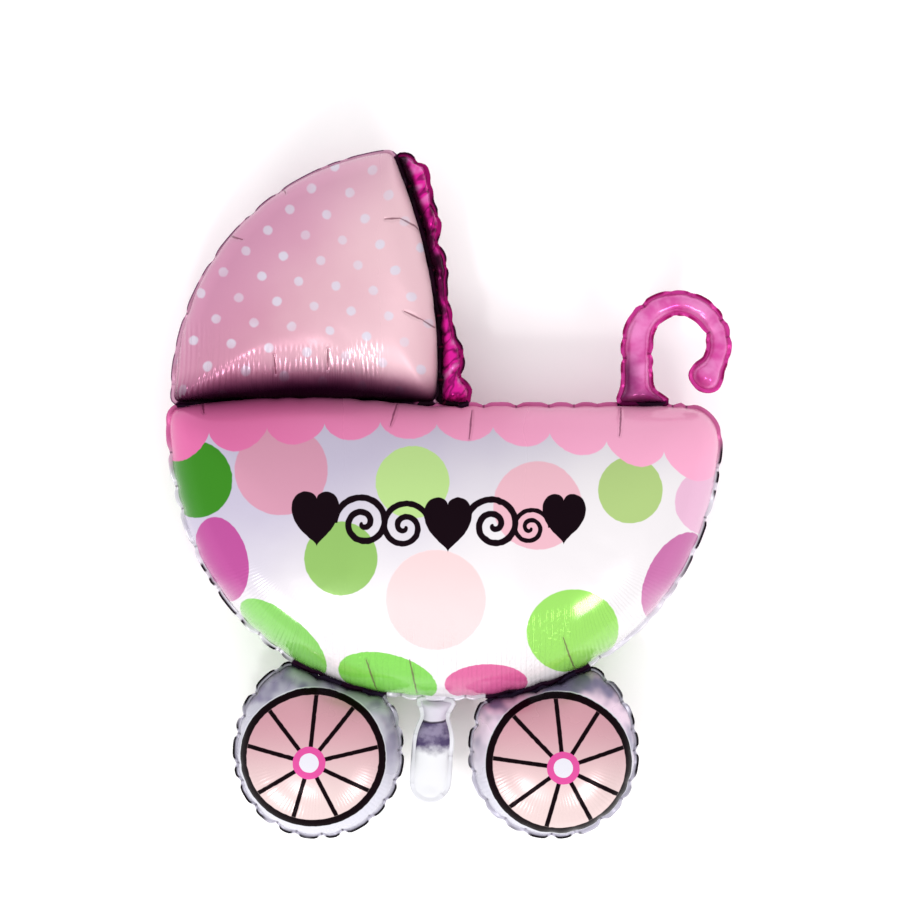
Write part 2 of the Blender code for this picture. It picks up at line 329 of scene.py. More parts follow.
@dataclass(frozen=True)
class Hood:
    """The quarter-round hood, whose front edge bows out towards the frill."""

    radius: float = 0.246
    centre: Point = (-0.025, 0.007)
    peak_x: float = -0.051
    foot_x: float = -0.007
    front_bow: float = 0.016
    corner: float = 0.006
    hub: Point = (0.30, 0.40)
    ridge_reach: float = 0.14
    ridge_points: int = 15
    swell: float = 0.065
    spare: Point = (1.27, 1.27)
    crimp: Crimp = Crimp(spacing=0.034, drawn_in=0.0012, run_in=0.020, groove=0.16, unevenness=1.0)

    @property
    def peak(self) -> float:
        """Find the height over the rim where the hood's arc meets its front edge."""
        return self.centre[1] + math.sqrt(self.radius**2 - (self.peak_x - self.centre[0]) ** 2)

    def front_edge(self, y: float) -> float:
        """Find the weld between the hood and its frill.

        Args:
            y: Height over the rim.

        Returns:
            X of the weld at that height.
        """
        share = y / self.peak
        bow = 4 * self.front_bow * share * (1 - share)
        return self.foot_x + (self.peak_x - self.foot_x) * share + bow

    def chamber(self) -> Chamber:
        """Lay out the hood.

        Returns:
            The chamber.
        """

        def inside(x: float, y: float) -> bool:
            """Tell whether a point lies in the hood."""
            in_arc = math.hypot(x - self.centre[0], y - self.centre[1]) < self.radius
            return in_arc and y > WELD_GAP / 2 and x < self.front_edge(y) - WELD_GAP / 2

        hub = (self.centre[0] - self.radius * self.hub[0], self.radius * self.hub[1])
        outline = rounded(traced(hub, inside, 2 * self.radius), self.corner)
        lean = self.radius * self.ridge_reach
        steps = np.linspace(-1, 1, self.ridge_points)
        ridge = np.array([(hub[0] + step * lean, hub[1] + step * lean) for step in steps])
        swell = np.full(self.ridge_points, self.swell)
        return Chamber(Part.HOOD, outline, ridge, swell, FULL_CUSHION, self.spare, self.crimp)


@dataclass(frozen=True)
class Wheel:
    """A wheel, whose top is cut by the bowl's weld."""

    part: Part
    hub: Point
    radius: float = 0.082
    shoulder: float = 0.013
    corner: float = 0.008
    swell: float = 0.045
    spare: Point = (1.31, 1.31)
    crimp: Crimp = Crimp(spacing=0.0255, drawn_in=0.0034, run_in=0.018, groove=0.30, unevenness=0.5)

    def rise(self, x: float, y: float) -> float:
        """Find how steeply the way from the hub to a point rises, from 0 for level or down to 1."""
        return max(0.0, y - self.hub[1]) / max(math.dist((x, y), self.hub), 1e-6)

    def chamber(self, bowl: Bowl) -> Chamber:
        """Lay out the wheel.

        Args:
            bowl: The bowl above it.

        Returns:
            The chamber.
        """

        def inside(x: float, y: float) -> bool:
            """Tell whether a point lies in the wheel."""
            reach = self.radius + self.shoulder * self.rise(x, y) ** 2
            return math.dist((x, y), self.hub) < reach and not bowl.contains(x, y, WELD_GAP)

        outline = rounded(traced(self.hub, inside, 2 * self.radius), self.corner)
        ridge, swell = np.array([self.hub]), np.array([self.swell])
        return Chamber(self.part, outline, ridge, swell, FULL_CUSHION, self.spare, self.crimp)


@dataclass(frozen=True)
class Frill:
    """The gathered strip along the hood's front edge, with its width at shares of the hood's height."""

    shape: tuple[Point, ...] = (
        (0.00, 0.027), (0.05, 0.029), (0.08, 0.023), (0.12, 0.017), (0.16, 0.020),
        (0.22, 0.019), (0.26, 0.012), (0.32, 0.011), (0.38, 0.009), (0.44, 0.008),
        (0.49, 0.009), (0.54, 0.014), (0.58, 0.013), (0.65, 0.009), (0.69, 0.014),
        (0.74, 0.019), (0.80, 0.015), (0.87, 0.020), (0.94, 0.022), (1.00, 0.006),
    )
    top: float = 0.985
    steps: int = 161
    corner: float = 0.003
    ridge_end: int = 6
    swell: float = 0.013
    full_width: float = 0.018
    fullest: float = 1.2
    spare: Point = (1.4, 1.25)
    crimp: Crimp = Crimp(spacing=0.028, drawn_in=0.0022, run_in=0.012, groove=0.50, unevenness=0.7)

    def chamber(self, hood: Hood) -> Chamber:
        """Lay out the frill.

        Args:
            hood: The hood beside it.

        Returns:
            The chamber.
        """
        shares, widths = np.array(self.shape).T
        left, right, swell = [], [], []
        for y in np.linspace(WELD_GAP / 2, hood.peak * self.top, self.steps):
            start = hood.front_edge(y) + WELD_GAP / 2
            width = float(np.interp(y / hood.peak, shares, widths))
            left.append((start, y))
            right.append((start + width, y))
            swell.append(self.swell * min(width / self.full_width, self.fullest))
        outline = rounded(np.array(left + right[::-1]), self.corner)
        kept = slice(self.ridge_end, -self.ridge_end)
        ridge = ((np.array(left) + np.array(right)) / 2)[kept]
        return Chamber(Part.FRILL, outline, ridge, np.array(swell)[kept], ROUND_TUBE, self.spare, self.crimp)


@dataclass(frozen=True)
class Handle:
    """The hooked tube, with a spread foot and a swollen tip."""

    x: float = 0.192
    rise: float = 0.060
    curl_radius: float = 0.041
    curl_turn: float = math.radians(212)
    tip_reach: float = 0.025
    tip_length: float = 0.026
    width: float = 0.025
    width_curl: float = 0.018
    width_tip: float = 0.034
    width_foot: float = 0.056
    foot_rise: float = 0.022
    foot_lean: float = 0.007
    steps: int = 221
    corner: float = 0.003
    ridge_ends: tuple[int, int] = (8, 12)
    swell: float = 0.0145
    fullest: float = 1.15
    spare: Point = (1.35, 1.35)
    crimp: Crimp = Crimp(spacing=0.022, drawn_in=0.0014, run_in=0.006, groove=0.22, unevenness=0.8)

    def stop(self, run: float, total: float) -> tuple[np.ndarray, np.ndarray, float]:
        """Find one place along the tube.

        Args:
            run: Distance from its foot.
            total: Its whole length.

        Returns:
            The tube's middle, its direction across and its width before its end is rounded.
        """
        turned = min(max(0.0, run - self.rise) / self.curl_radius, self.curl_turn)
        angle = math.pi - turned
        flare = max(0.0, 1 - run / self.foot_rise) ** 2
        middle = np.array([self.x + self.foot_lean * flare, min(run, self.rise)])
        middle += self.curl_radius * np.array([1 + math.cos(angle), math.sin(angle)])
        past_curl = max(0.0, run - total + self.tip_reach)
        middle += past_curl * np.array([math.sin(angle), -math.cos(angle)])
        width = self.width + (self.width_curl - self.width) * min(1.0, turned / (math.pi / 2))
        width += (self.width_foot - self.width) * flare
        tip = max(0.0, 1 - (total - run) / self.tip_length)
        width += (self.width_tip - self.width_curl) * math.sin(tip * math.pi / 2)
        return middle, np.array([math.cos(angle), math.sin(angle)]), width

    def chamber(self) -> Chamber:
        """Lay out the handle.

        Returns:
            The chamber.
        """
        total = self.rise + self.curl_radius * self.curl_turn + self.tip_reach
        left, right, ridge, swell = [], [], [], []
        for run in np.linspace(WELD_GAP / 2, total, self.steps):
            middle, across, width = self.stop(run, total)
            half = width / 2 * rounded_end(total - run, self.width_tip)
            left.append(middle + across * half)
            right.append(middle - across * half)
            ridge.append(middle)
            swell.append(self.swell * min(width / self.width, self.fullest))
        outline = rounded(np.vstack([left, right[::-1]]), self.corner)
        kept = slice(self.ridge_ends[0], -self.ridge_ends[1])
        ridge, swell = np.array(ridge)[kept], np.array(swell)[kept]
        return Chamber(Part.HANDLE, outline, ridge, swell, ROUND_TUBE, self.spare, self.crimp)


@dataclass(frozen=True)
class Tail:
    """The filling tail below the bowl: a mouth, a neck and a flat belly."""

    x: float = -0.009
    neck_width: float = 0.021
    neck_drop: float = 0.017
    mouth_width: float = 0.036
    width: float = 0.034
    length: float = 0.098
    lean: float = math.radians(4)
    belly_rise: float = 1.4
    steps: int = 121
    corner: float = 0.004
    ridge_ends: tuple[int, int] = (6, 14)
    swell: float = 0.0065
    swell_least: float = 0.001
    spare: Point = (1.1, 1.1)
    crimp: Crimp = Crimp(spacing=0.045, drawn_in=0.0002, run_in=0.006, groove=0.04, unevenness=0.6)

    def chamber(self, bowl: Bowl) -> Chamber:
        """Lay out the tail.

        Args:
            bowl: The bowl above it.

        Returns:
            The chamber.
        """
        start = np.array([self.x, -bowl.depth - WELD_GAP])
        lean = np.array([-math.sin(self.lean), -math.cos(self.lean)])
        across = np.array([math.cos(self.lean), -math.sin(self.lean)])
        left, right, ridge, swell = [], [], [], []
        for run in np.linspace(0.0, self.length, self.steps):
            flare = max(0.0, 1 - run / self.neck_drop) ** 2
            past_neck = min(1.0, max(0.0, run / self.neck_drop - 1) / self.belly_rise)
            width = self.neck_width + (self.mouth_width - self.neck_width) * flare
            width += (self.width - self.neck_width) * math.sin(past_neck * math.pi / 2)
            half = width / 2 * rounded_end(self.length - run, self.width)
            left.append(start + lean * run - across * half)
            right.append(start + lean * run + across * half)
            ridge.append(start + lean * run)
            full = 0.55 + 0.45 * math.cos(math.pi * run / self.length)
            swell.append(self.swell * full + self.swell_least)
        outline = rounded(np.vstack([left, right[::-1]]), self.corner)
        kept = slice(self.ridge_ends[0], -self.ridge_ends[1])
        ridge, swell = np.array(ridge)[kept], np.array(swell)[kept]
        return Chamber(Part.TAIL, outline, ridge, swell, ROUND_TUBE, self.spare, self.crimp)


@dataclass(frozen=True)
class Pram:
    """The whole balloon in plan, as its film is welded."""

    bowl: Bowl = Bowl()
    hood: Hood = Hood()
    wheel_left: Wheel = Wheel(Part.WHEEL_LEFT, (-0.1265, -0.3493))
    wheel_right: Wheel = Wheel(Part.WHEEL_RIGHT, (0.1085, -0.3493))
    frill: Frill = Frill()
    handle: Handle = Handle()
    tail: Tail = Tail()

    def chambers(self) -> list[Chamber]:
        """Lay out every chamber.

        Returns:
            The chambers, the largest first.
        """
        wheels = [wheel.chamber(self.bowl) for wheel in (self.wheel_left, self.wheel_right)]
        frill, tail = self.frill.chamber(self.hood), self.tail.chamber(self.bowl)
        return [self.bowl.chamber(), self.hood.chamber(), *wheels, frill, self.handle.chamber(), tail]


def profile(share: np.ndarray, fullness: float) -> tuple[np.ndarray, np.ndarray]:
    """Round a chamber off.

    Args:
        share: Shares of the film's way from the ridge to the weld.
        fullness: How full the chamber is, where 2 is an ellipse.

    Returns:
        The shares of the way across in plan and of the full height.
    """
    spread = np.sin(np.linspace(0.0, 1.0, PROFILE_STEPS) * math.pi / 2)
    height = PROFILE_HEIGHT * np.sqrt(np.maximum(0.0, 1 - spread**fullness))
    arc = np.concatenate([[0.0], np.cumsum(np.hypot(np.diff(spread), np.diff(height)))])
    arc /= arc[-1]
    return np.interp(share, arc, spread), np.interp(share, arc, height / height[0])


class FilmMaker:
    """Lays a chamber's film out as a mesh and gives it a rough blown-up start.

    The widths of puckers are shares of the film's spacing or of the puckers' own spacing.
    """

    LEAST_PUCKERS = 4
    PUCKER_SHIFT = 0.7
    GRID_JITTER = 0.06
    WELD_CLEARANCE = 0.6
    OUTLINE_POINTS = 1600
    OUT_OF_REACH = 9.0
    FADE_SHARE = 0.6
    LEAST_NARROWING = 0.3
    VALLEY_WIDTH = 1.1
    PUCKER_WIDTH = 0.16
    PINNED_VALLEY = 0.55
    PINNED_LEAST = 0.35

    def __init__(self, chamber: Chamber) -> None:
        """Keep the chamber and place its puckers.

        Args:
            chamber: The chamber to lay out.
        """
        self.chamber = chamber
        self.rng = np.random.default_rng(chamber.part.value)
        self.length = run_along(chamber.outline, True)[-1]
        crimp = chamber.crimp
        count = max(self.LEAST_PUCKERS, round(self.length / crimp.spacing))
        shifts = self.rng.uniform(-0.5, 0.5, count) * crimp.unevenness * self.PUCKER_SHIFT
        self.cuts = np.sort(np.mod((np.arange(count) + shifts) * self.length / count, self.length))
        self.depths = 1 - crimp.unevenness * self.rng.uniform(0.0, 1.0, count)

    def nearest_cut(self, run: np.ndarray) -> tuple[np.ndarray, np.ndarray]:
        """Find the nearest pucker.

        Args:
            run: Distances along the weld.

        Returns:
            Distance along the weld past the nearest pucker, and that pucker's depth from 0 to 1.
        """
        past = np.mod(run[:, None] - self.cuts[None] + self.length / 2, self.length) - self.length / 2
        nearest = np.abs(past).argmin(axis=1)
        return past[np.arange(len(run)), nearest], self.depths[nearest]

    def lay_out(self) -> tuple[np.ndarray, np.ndarray, np.ndarray, np.ndarray]:
        """Fill the outline with evenly spread triangles.

        Returns:
            Plan points, triangles, the place of each weld point in the loop or -1, and the loop.
        """
        count = round(self.length / FILM_SPACING)
        loop = spaced(self.chamber.outline, count)
        low, high = loop.min(axis=0), loop.max(axis=0)
        rows = np.arange(low[1], high[1], FILM_SPACING * math.sqrt(3) / 2)
        columns = np.arange(low[0], high[0], FILM_SPACING)
        shifts = FILM_SPACING / 2 * (np.arange(len(rows)) % 2)
        grid = np.array([(x + shift, y) for y, shift in zip(rows, shifts) for x in columns])
        grid += self.rng.normal(0.0, FILM_SPACING * self.GRID_JITTER, grid.shape)
        grid = grid[enclosed(loop, grid)]
        clear = np.array([np.min(np.sum((loop - point) ** 2, axis=1)) for point in grid])
        grid = grid[clear > (self.WELD_CLEARANCE * FILM_SPACING) ** 2]
        points = [tuple(point) for point in np.vstack([loop, grid])]
        found, _, faces, origins, _, _ = delaunay_2d_cdt(points, [], [list(range(count))], 1, 1e-6)
        place = np.array([min((k for k in origin if k < count), default=-1) for origin in origins])
        return np.array([tuple(point) for point in found]), np.array(faces), place, loop

    def rays(self, plan: np.ndarray) -> tuple[np.ndarray, np.ndarray, np.ndarray, np.ndarray]:
        """Follow the ray from the ridge through each point to the weld.

        Args:
            plan: Plan points.

        Returns:
            The ridge point's index, the ray's direction, its length and where it meets the weld.
        """
        ridge, dense = self.chamber.ridge, spaced(self.chamber.outline, self.OUTLINE_POINTS)
        gaps = np.linalg.norm(plan[:, None] - ridge[None], axis=2)
        nearest = gaps.argmin(axis=1)
        anchors = ridge[nearest]
        distance = gaps.min(axis=1)
        directions = (plan - anchors) / np.maximum(distance, LEAST_LENGTH)[:, None]
        lengths, meets = np.empty(len(plan)), np.empty(len(plan))
        for k, (anchor, direction) in enumerate(zip(anchors, directions)):
            relative = dense - anchor
            forward = relative @ direction
            aside = relative[:, 0] * direction[1] - relative[:, 1] * direction[0]
            ahead_forward, ahead_aside = np.roll(forward, -1), np.roll(aside, -1)
            part = aside / np.where(aside == ahead_aside, 1.0, aside - ahead_aside)
            reach = forward + part * (ahead_forward - forward)
            valid = (aside * ahead_aside <= 0) & (reach > distance[k] - FILM_SPACING)
            hit = np.where(valid, reach, self.OUT_OF_REACH).argmin()
            lengths[k], meets[k] = reach[hit], (hit + part[hit]) * self.length / len(dense)
        return nearest, directions, np.maximum(lengths, distance), meets

    def make(self) -> Film:
        """Lay the film out and raise it roughly to its blown-up shape.

        Returns:
            The film, ready for the simulation.
        """
        chamber, crimp = self.chamber, self.chamber.crimp
        plan, triangles, place, loop = self.lay_out()
        seam = place >= 0
        nearest, directions, lengths, meets = self.rays(plan)
        anchors = chamber.ridge[nearest]
        share = np.clip(np.linalg.norm(plan - anchors, axis=1) / lengths, 0.0, 1.0)
        share[seam] = 1.0
        meets[seam] = place[seam] * self.length / len(loop)
        to_weld = (1 - share) * lengths
        gap, depth = self.nearest_cut(meets)
        gap = gap * np.maximum(share, self.LEAST_NARROWING)
        reach = np.minimum(crimp.run_in, lengths * self.FADE_SHARE)
        fade = np.clip(1 - to_weld / reach, 0.0, 1.0)
        valley = depth * fade * np.exp(-((gap / (FILM_SPACING * self.VALLEY_WIDTH)) ** 2))
        deep = (valley > self.PINNED_VALLEY * depth * fade) & (np.minimum(fade, depth) > self.PINNED_LEAST)
        out, up = profile(share, chamber.fullness)
        width = crimp.spacing * self.PUCKER_WIDTH
        broad = crimp.drawn_in * depth * fade * np.exp(-((gap / width) ** 2))
        across = anchors + directions * (out * lengths - broad)[:, None]
        raised = chamber.swell[nearest] * up * (1 - crimp.groove * valley)
        raised[seam] = 0.0
        start = np.column_stack([across, raised])
        pinned = seam | deep
        crease = np.column_stack([gap, depth * fade])
        return Film(chamber, plan, triangles, seam, loop, start, pinned, meets, share, crease, to_weld)


class Inflation:
    """Blows the films up in one cloth simulation."""

    FRAMES = 16
    PRESSURE = 10.0
    TENSION = 90.0
    COMPRESSION = 45.0
    BENDING = 0.15
    DAMPING = 5.0
    BENDING_DAMPING = 0.5
    AIR_DAMPING = 1.0
    FILM_MASS = 0.05
    QUALITY = 6

    def __init__(self, films: list[Film]) -> None:
        """Keep every chamber's film."""
        self.films = films

    def _sheet(self) -> bpy.types.Object:
        """Join the films into one object with their flat layout as its rest shape.

        Returns:
            The object.
        """
        firsts = np.cumsum([0] + [len(film.plan) for film in self.films])
        points = np.vstack([film.start for film in self.films])
        faces = np.vstack([film.triangles + first for film, first in zip(self.films, firsts)])
        mesh = bpy.data.meshes.new("film_front")
        mesh.from_pydata(points.tolist(), [], faces.tolist())
        sheet = bpy.data.objects.new("film_front", mesh)
        bpy.context.scene.collection.objects.link(sheet)
        flat = []
        for film in self.films:
            middle = film.plan.mean(axis=0)
            spread = middle + (film.plan - middle) * np.array(film.chamber.spare)
            flat.append(np.column_stack([spread, np.zeros(len(spread))]))
        sheet.shape_key_add(name="blown_up", from_mix=False)
        key = sheet.shape_key_add(name="flat", from_mix=False)
        key.data.foreach_set("co", np.vstack(flat).ravel())
        key.value = 0.0
        pins = sheet.vertex_groups.new(name="weld")
        pinned = np.concatenate([film.pinned for film in self.films])
        pins.add([int(k) for k in np.nonzero(pinned)[0]], 1.0, "REPLACE")
        return sheet

    def _cloth(self, sheet: bpy.types.Object) -> None:
        """Give the sheet its cloth settings.

        Args:
            sheet: The joined films.
        """
        cloth = sheet.modifiers.new("inflation", "CLOTH")
        settings = cloth.settings
        settings.quality = self.QUALITY
        settings.mass = self.FILM_MASS
        settings.air_damping = self.AIR_DAMPING
        settings.tension_stiffness = self.TENSION
        settings.compression_stiffness = self.COMPRESSION
        settings.shear_stiffness = self.COMPRESSION
        settings.tension_damping = self.DAMPING
        settings.compression_damping = self.DAMPING
        settings.shear_damping = self.DAMPING
        settings.bending_stiffness = self.BENDING
        settings.bending_damping = self.BENDING_DAMPING
        settings.vertex_group_mass = "weld"
        settings.rest_shape_key = sheet.data.shape_keys.key_blocks["flat"]
        settings.use_pressure = True
        settings.uniform_pressure_force = self.PRESSURE
        settings.effector_weights.gravity = 0.0
        cloth.collision_settings.use_collision = False
        cloth.collision_settings.use_self_collision = False
        cloth.point_cache.frame_start = 1
        cloth.point_cache.frame_end = self.FRAMES

    def run(self) -> list[np.ndarray]:
        """Blow the films up.

        Returns:
            The points of each film's front sheet.
        """
        sheet = self._sheet()
        self._cloth(sheet)
        scene = bpy.context.scene
        for frame in range(1, self.FRAMES + 1):
            scene.frame_set(frame)
        blown = sheet.evaluated_get(bpy.context.evaluated_depsgraph_get()).data
        points = np.empty(len(blown.vertices) * 3)
        blown.vertices.foreach_get("co", points)
        points = points.reshape(-1, 3)
        bpy.data.objects.remove(sheet)
        scene.frame_set(1)
        ends = np.cumsum([len(film.plan) for film in self.films])[:-1]
        return np.split(points, ends)


def neighbour_mean(film: Film, field: np.ndarray) -> np.ndarray:
    """Average a field over each point's neighbours.

    Args:
        film: The film.
        field: The field, one row for each point.

    Returns:
        The averages.
    """
    sides = np.vstack([film.triangles[:, [0, 1]], film.triangles[:, [1, 2]], film.triangles[:, [2, 0]]])
    sides = np.vstack([sides, sides[:, ::-1]])
    total = np.bincount(sides[:, 0], minlength=len(field))
    columns = [np.bincount(sides[:, 0], field[sides[:, 1], k], len(field)) for k in range(field.shape[1])]
    return np.column_stack(columns) / np.maximum(total, 1)[:, None]


def settled(film: Film, front: np.ndarray) -> np.ndarray:
    """Ease the small unevenness that the simulation leaves in a sheet.

    Args:
        film: The film.
        front: Points of its front sheet.

    Returns:
        The eased points.
    """
    for _ in range(BIG_FILM_PASSES if film.chamber.part in (Part.BOWL, Part.HOOD) else 1):
        eased = front + SETTLING * (neighbour_mean(film, front) - front)
        front = np.where(film.seam[:, None], front, eased)
    return front


@dataclass(frozen=True)
class Bulge:
    """A stretch of film beside the rim that stands out: its middle, half width, rise and height."""

    x: float
    half_width: float
    rise: float
    height: float

    def across(self, x: np.ndarray) -> np.ndarray:
        """Find how far each place shares in the bulge, from 0 at its ends to 1 in its middle."""
        return np.maximum(0.0, 1 - ((x - self.x) / self.half_width) ** 2)


def bulged(film: Film, front: np.ndarray) -> np.ndarray:
    """Let the bowl bulge over its rim below the hood, and draw the hood's foot up into an arc.

    Args:
        film: The film.
        front: Points of its front sheet.

    Returns:
        The points with their bulge.
    """
    x, y = front[:, 0], front[:, 1]
    free = 1 - np.exp(-film.to_weld / BORDER_WIDTH)
    rise = np.zeros(len(front))
    if film.chamber.part is Part.BOWL:
        rim = Bulge(x=-0.140, half_width=0.125, rise=0.011, height=0.035)
        rise = rim.rise * rim.across(x) * np.exp(-((y / rim.height) ** 2))
    if film.chamber.part is Part.HOOD:
        foot = Bulge(x=-0.133, half_width=0.140, rise=0.022, height=0.050)
        rise = foot.rise * foot.across(x) * y / foot.height * np.exp(1 - y / foot.height)
    return front + np.column_stack([np.zeros(len(front)), rise * free, np.zeros(len(front))])


class FilmBuilder:
    """Joins the blown-up films, their backs and their welded borders into one skin."""

    WAVE = 0.0022
    WAVE_REACH = 0.010
    RIM_WAVE = 1.6
    EASING_PASSES = 40
    TUCKED_IN = 0.0012
    OVERLAP = 1.05
    NOTCH_WIDTH = 0.17
    NOTCH_SHARE = 1.3
    NOTCH_MOST = 0.55
    RIM_SHARES = (1.0, 1.05, 1.1)
    VALLEY_SHARE = 1.3

    def __init__(self, films: list[Film], fronts: list[np.ndarray]) -> None:
        """Keep the films and their blown-up points.

        Args:
            films: Every chamber's film.
            fronts: The points of each front sheet.
        """
        self.films = films
        self.fronts = [bulged(film, settled(film, front)) for film, front in zip(films, fronts)]
        self.points: list[np.ndarray] = []
        self.faces: list[np.ndarray] = []
        self.prints: list[np.ndarray] = []
        self.welds: list[np.ndarray] = []
        self.creases: list[np.ndarray] = []
        self.slots: list[np.ndarray] = []
        self.count = 0

    def _add(
        self,
        points: np.ndarray,
        faces: np.ndarray,
        place: np.ndarray,
        weld: np.ndarray,
        crease: np.ndarray,
        slot: int,
    ) -> None:
        """Add a sheet to the skin.

        Args:
            points: Its points.
            faces: Its triangles.
            place: Print place of each point.
            weld: Run along the weld, in metres, and share of the way to it, for each point.
            crease: Distance past the nearest pucker and its strength, for each point.
            slot: Its material slot.
        """
        length = weld[:, 0].max() - weld[:, 0].min()
        runs = weld[faces]
        wraps = np.ptp(runs[:, :, 0], axis=1) > length / 2
        runs[wraps, :, 0] += length * (runs[wraps, :, 0] < length / 2)
        pasts = crease[faces]
        gaps = np.abs(pasts[:, :, 0])
        flips = (np.ptp(pasts[:, :, 0], axis=1) > gaps.max(axis=1)) & (gaps.min(axis=1) > FILM_SPACING * 1.2)
        pasts[flips, :, 0] = np.abs(pasts[flips, :, 0])
        self.points.append(points)
        self.faces.append(faces + self.count)
        self.prints.append(place[faces].reshape(-1, 2))
        self.welds.append(runs.reshape(-1, 2))
        self.creases.append(pasts.reshape(-1, 2))
        self.slots.append(np.full(len(faces), slot))
        self.count += len(points)

    def _eased(self, film: Film, drift: np.ndarray) -> np.ndarray:
        """Ease a field over the film, with nothing at its weld.

        Args:
            film: The film.
            drift: The field, one row for each point.

        Returns:
            The eased field.
        """
        for _ in range(self.EASING_PASSES):
            drift[film.seam] = 0.0
            drift = neighbour_mean(film, drift)
        drift[film.seam] = 0.0
        return drift

    def _wave(self, film: Film, run: np.ndarray) -> np.ndarray:
        """Find how far the weld stands out of its plane.

        Args:
            film: The film.
            run: Distances along the weld.

        Returns:
            One height for each distance.
        """
        length = run_along(film.loop, True)[-1]
        turns = max(3, round(length / (film.chamber.crimp.spacing * 2)))
        turn = math.tau * run / length
        return self.WAVE * (0.6 * np.sin(turns * turn) + 0.4 * np.sin((turns * 2 + 1) * turn + 1.3))

    def _between(self, film: Film, places: np.ndarray) -> np.ndarray:
        """Tell where a film's border meets another chamber.

        Args:
            film: The film.
            places: Places along the border's rim.

        Returns:
            True for each place beside another chamber.
        """
        between = np.zeros(len(places), bool)
        for other in self.films:
            if other is not film:
                outline = other.chamber.outline
                between |= enclosed(outline + outward(outline) * WELD_GAP / 2, places)
        return between

    def _border(self, film: Film, front: np.ndarray, slot: int) -> None:
        """Add the flat welded border outside a film, notched at its puckers.

        Args:
            film: The film.
            front: Points of its front sheet, waves included.
            slot: The border's material slot.
        """
        crimp = film.chamber.crimp
        order = np.argsort(film.weld_run[film.seam])
        seam, run = front[film.seam][order], film.weld_run[film.seam][order]
        away = outward(film.loop)
        gap, depth = FilmMaker(film.chamber).nearest_cut(run)
        narrow = np.exp(-((gap / (crimp.spacing * self.NOTCH_WIDTH)) ** 2))
        notch = min(self.NOTCH_MOST, self.NOTCH_SHARE * crimp.groove) * depth * narrow
        between = self._between(film, film.loop + away * BORDER_WIDTH)
        width = np.where(between, WELD_GAP * self.OVERLAP, BORDER_WIDTH * (1 - notch))
        inner = seam.copy()
        inner[:, :2] -= away * self.TUCKED_IN
        outer = np.column_stack([seam[:, :2] + away * width[:, None], self.RIM_WAVE * self._wave(film, run)])
        middle = (seam + outer) / 2
        half = np.array([0.0, 0.0, BORDER_LAYER / 2])
        loops = [inner + half, middle + half, outer + half, outer - half, middle - half, inner - half]
        base, ahead = np.arange(len(seam)), np.roll(np.arange(len(seam)), -1)
        faces = []
        for low in range(0, len(seam) * (len(loops) - 1), len(seam)):
            high = low + len(seam)
            faces.append(np.column_stack([base + low, base + high, ahead + high]))
            faces.append(np.column_stack([base + low, ahead + high, ahead + low]))
        place = np.vstack([loop[:, :2] for loop in loops])
        shares = (*self.RIM_SHARES, *self.RIM_SHARES[::-1])
        steps = [np.where(between, self.VALLEY_SHARE, share) for share in shares]
        weld = np.column_stack([np.tile(run, len(loops)), np.concatenate(steps)])
        crease = np.tile(np.column_stack([gap, depth]), (len(loops), 1))
        self._add(np.vstack(loops), np.vstack(faces)[:, ::-1], place, weld, crease, slot)

    def build(self, materials: dict[str, bpy.types.Material]) -> bpy.types.Object:
        """Join everything and set it down on the floor.

        Args:
            materials: The material of each chamber, and of each border.

        Returns:
            The finished skin.
        """
        names = list(materials)
        for film, front in zip(self.films, self.fronts):
            name = film.chamber.part.label
            place = film.plan + self._eased(film, front[:, :2] - film.plan)
            weld = np.column_stack([film.weld_run, film.share])
            height = self._wave(film, film.weld_run) * np.exp(-film.to_weld / self.WAVE_REACH)
            wave = np.column_stack([np.zeros((len(front), 2)), height])
            upper, lower = front + wave, front * (1, 1, -1) + wave
            slot = names.index(name)
            self._add(upper, film.triangles, place, weld, film.crease, slot)
            self._add(lower, film.triangles[:, ::-1], place, weld, film.crease, slot)
            self._border(film, upper, names.index(name + "_border"))
        points = np.vstack(self.points) + (*RIM_MIDDLE, WELD_HEIGHT)
        points[:, 2] = np.maximum(points[:, 2], FLOOR_CLEARANCE)
        faces = np.vstack(self.faces)
        mesh = bpy.data.meshes.new("balloon_film")
        mesh.from_pydata(points.tolist(), [], faces.tolist())
        for title, rows in (("print", self.prints), ("weld", self.welds), ("crease", self.creases)):
            layer = mesh.uv_layers.new(name=title)
            layer.data.foreach_set("uv", np.vstack(rows).ravel())
        mesh.polygons.foreach_set("material_index", np.concatenate(self.slots))
        mesh.polygons.foreach_set("use_smooth", np.ones(len(faces), bool))
        for name in names:
            mesh.materials.append(materials[name])
        mesh.update()
        skin = bpy.data.objects.new("balloon_film", mesh)
        bpy.context.scene.collection.objects.link(skin)
        LOG.info("skin has %d triangles", len(faces))
        return skin


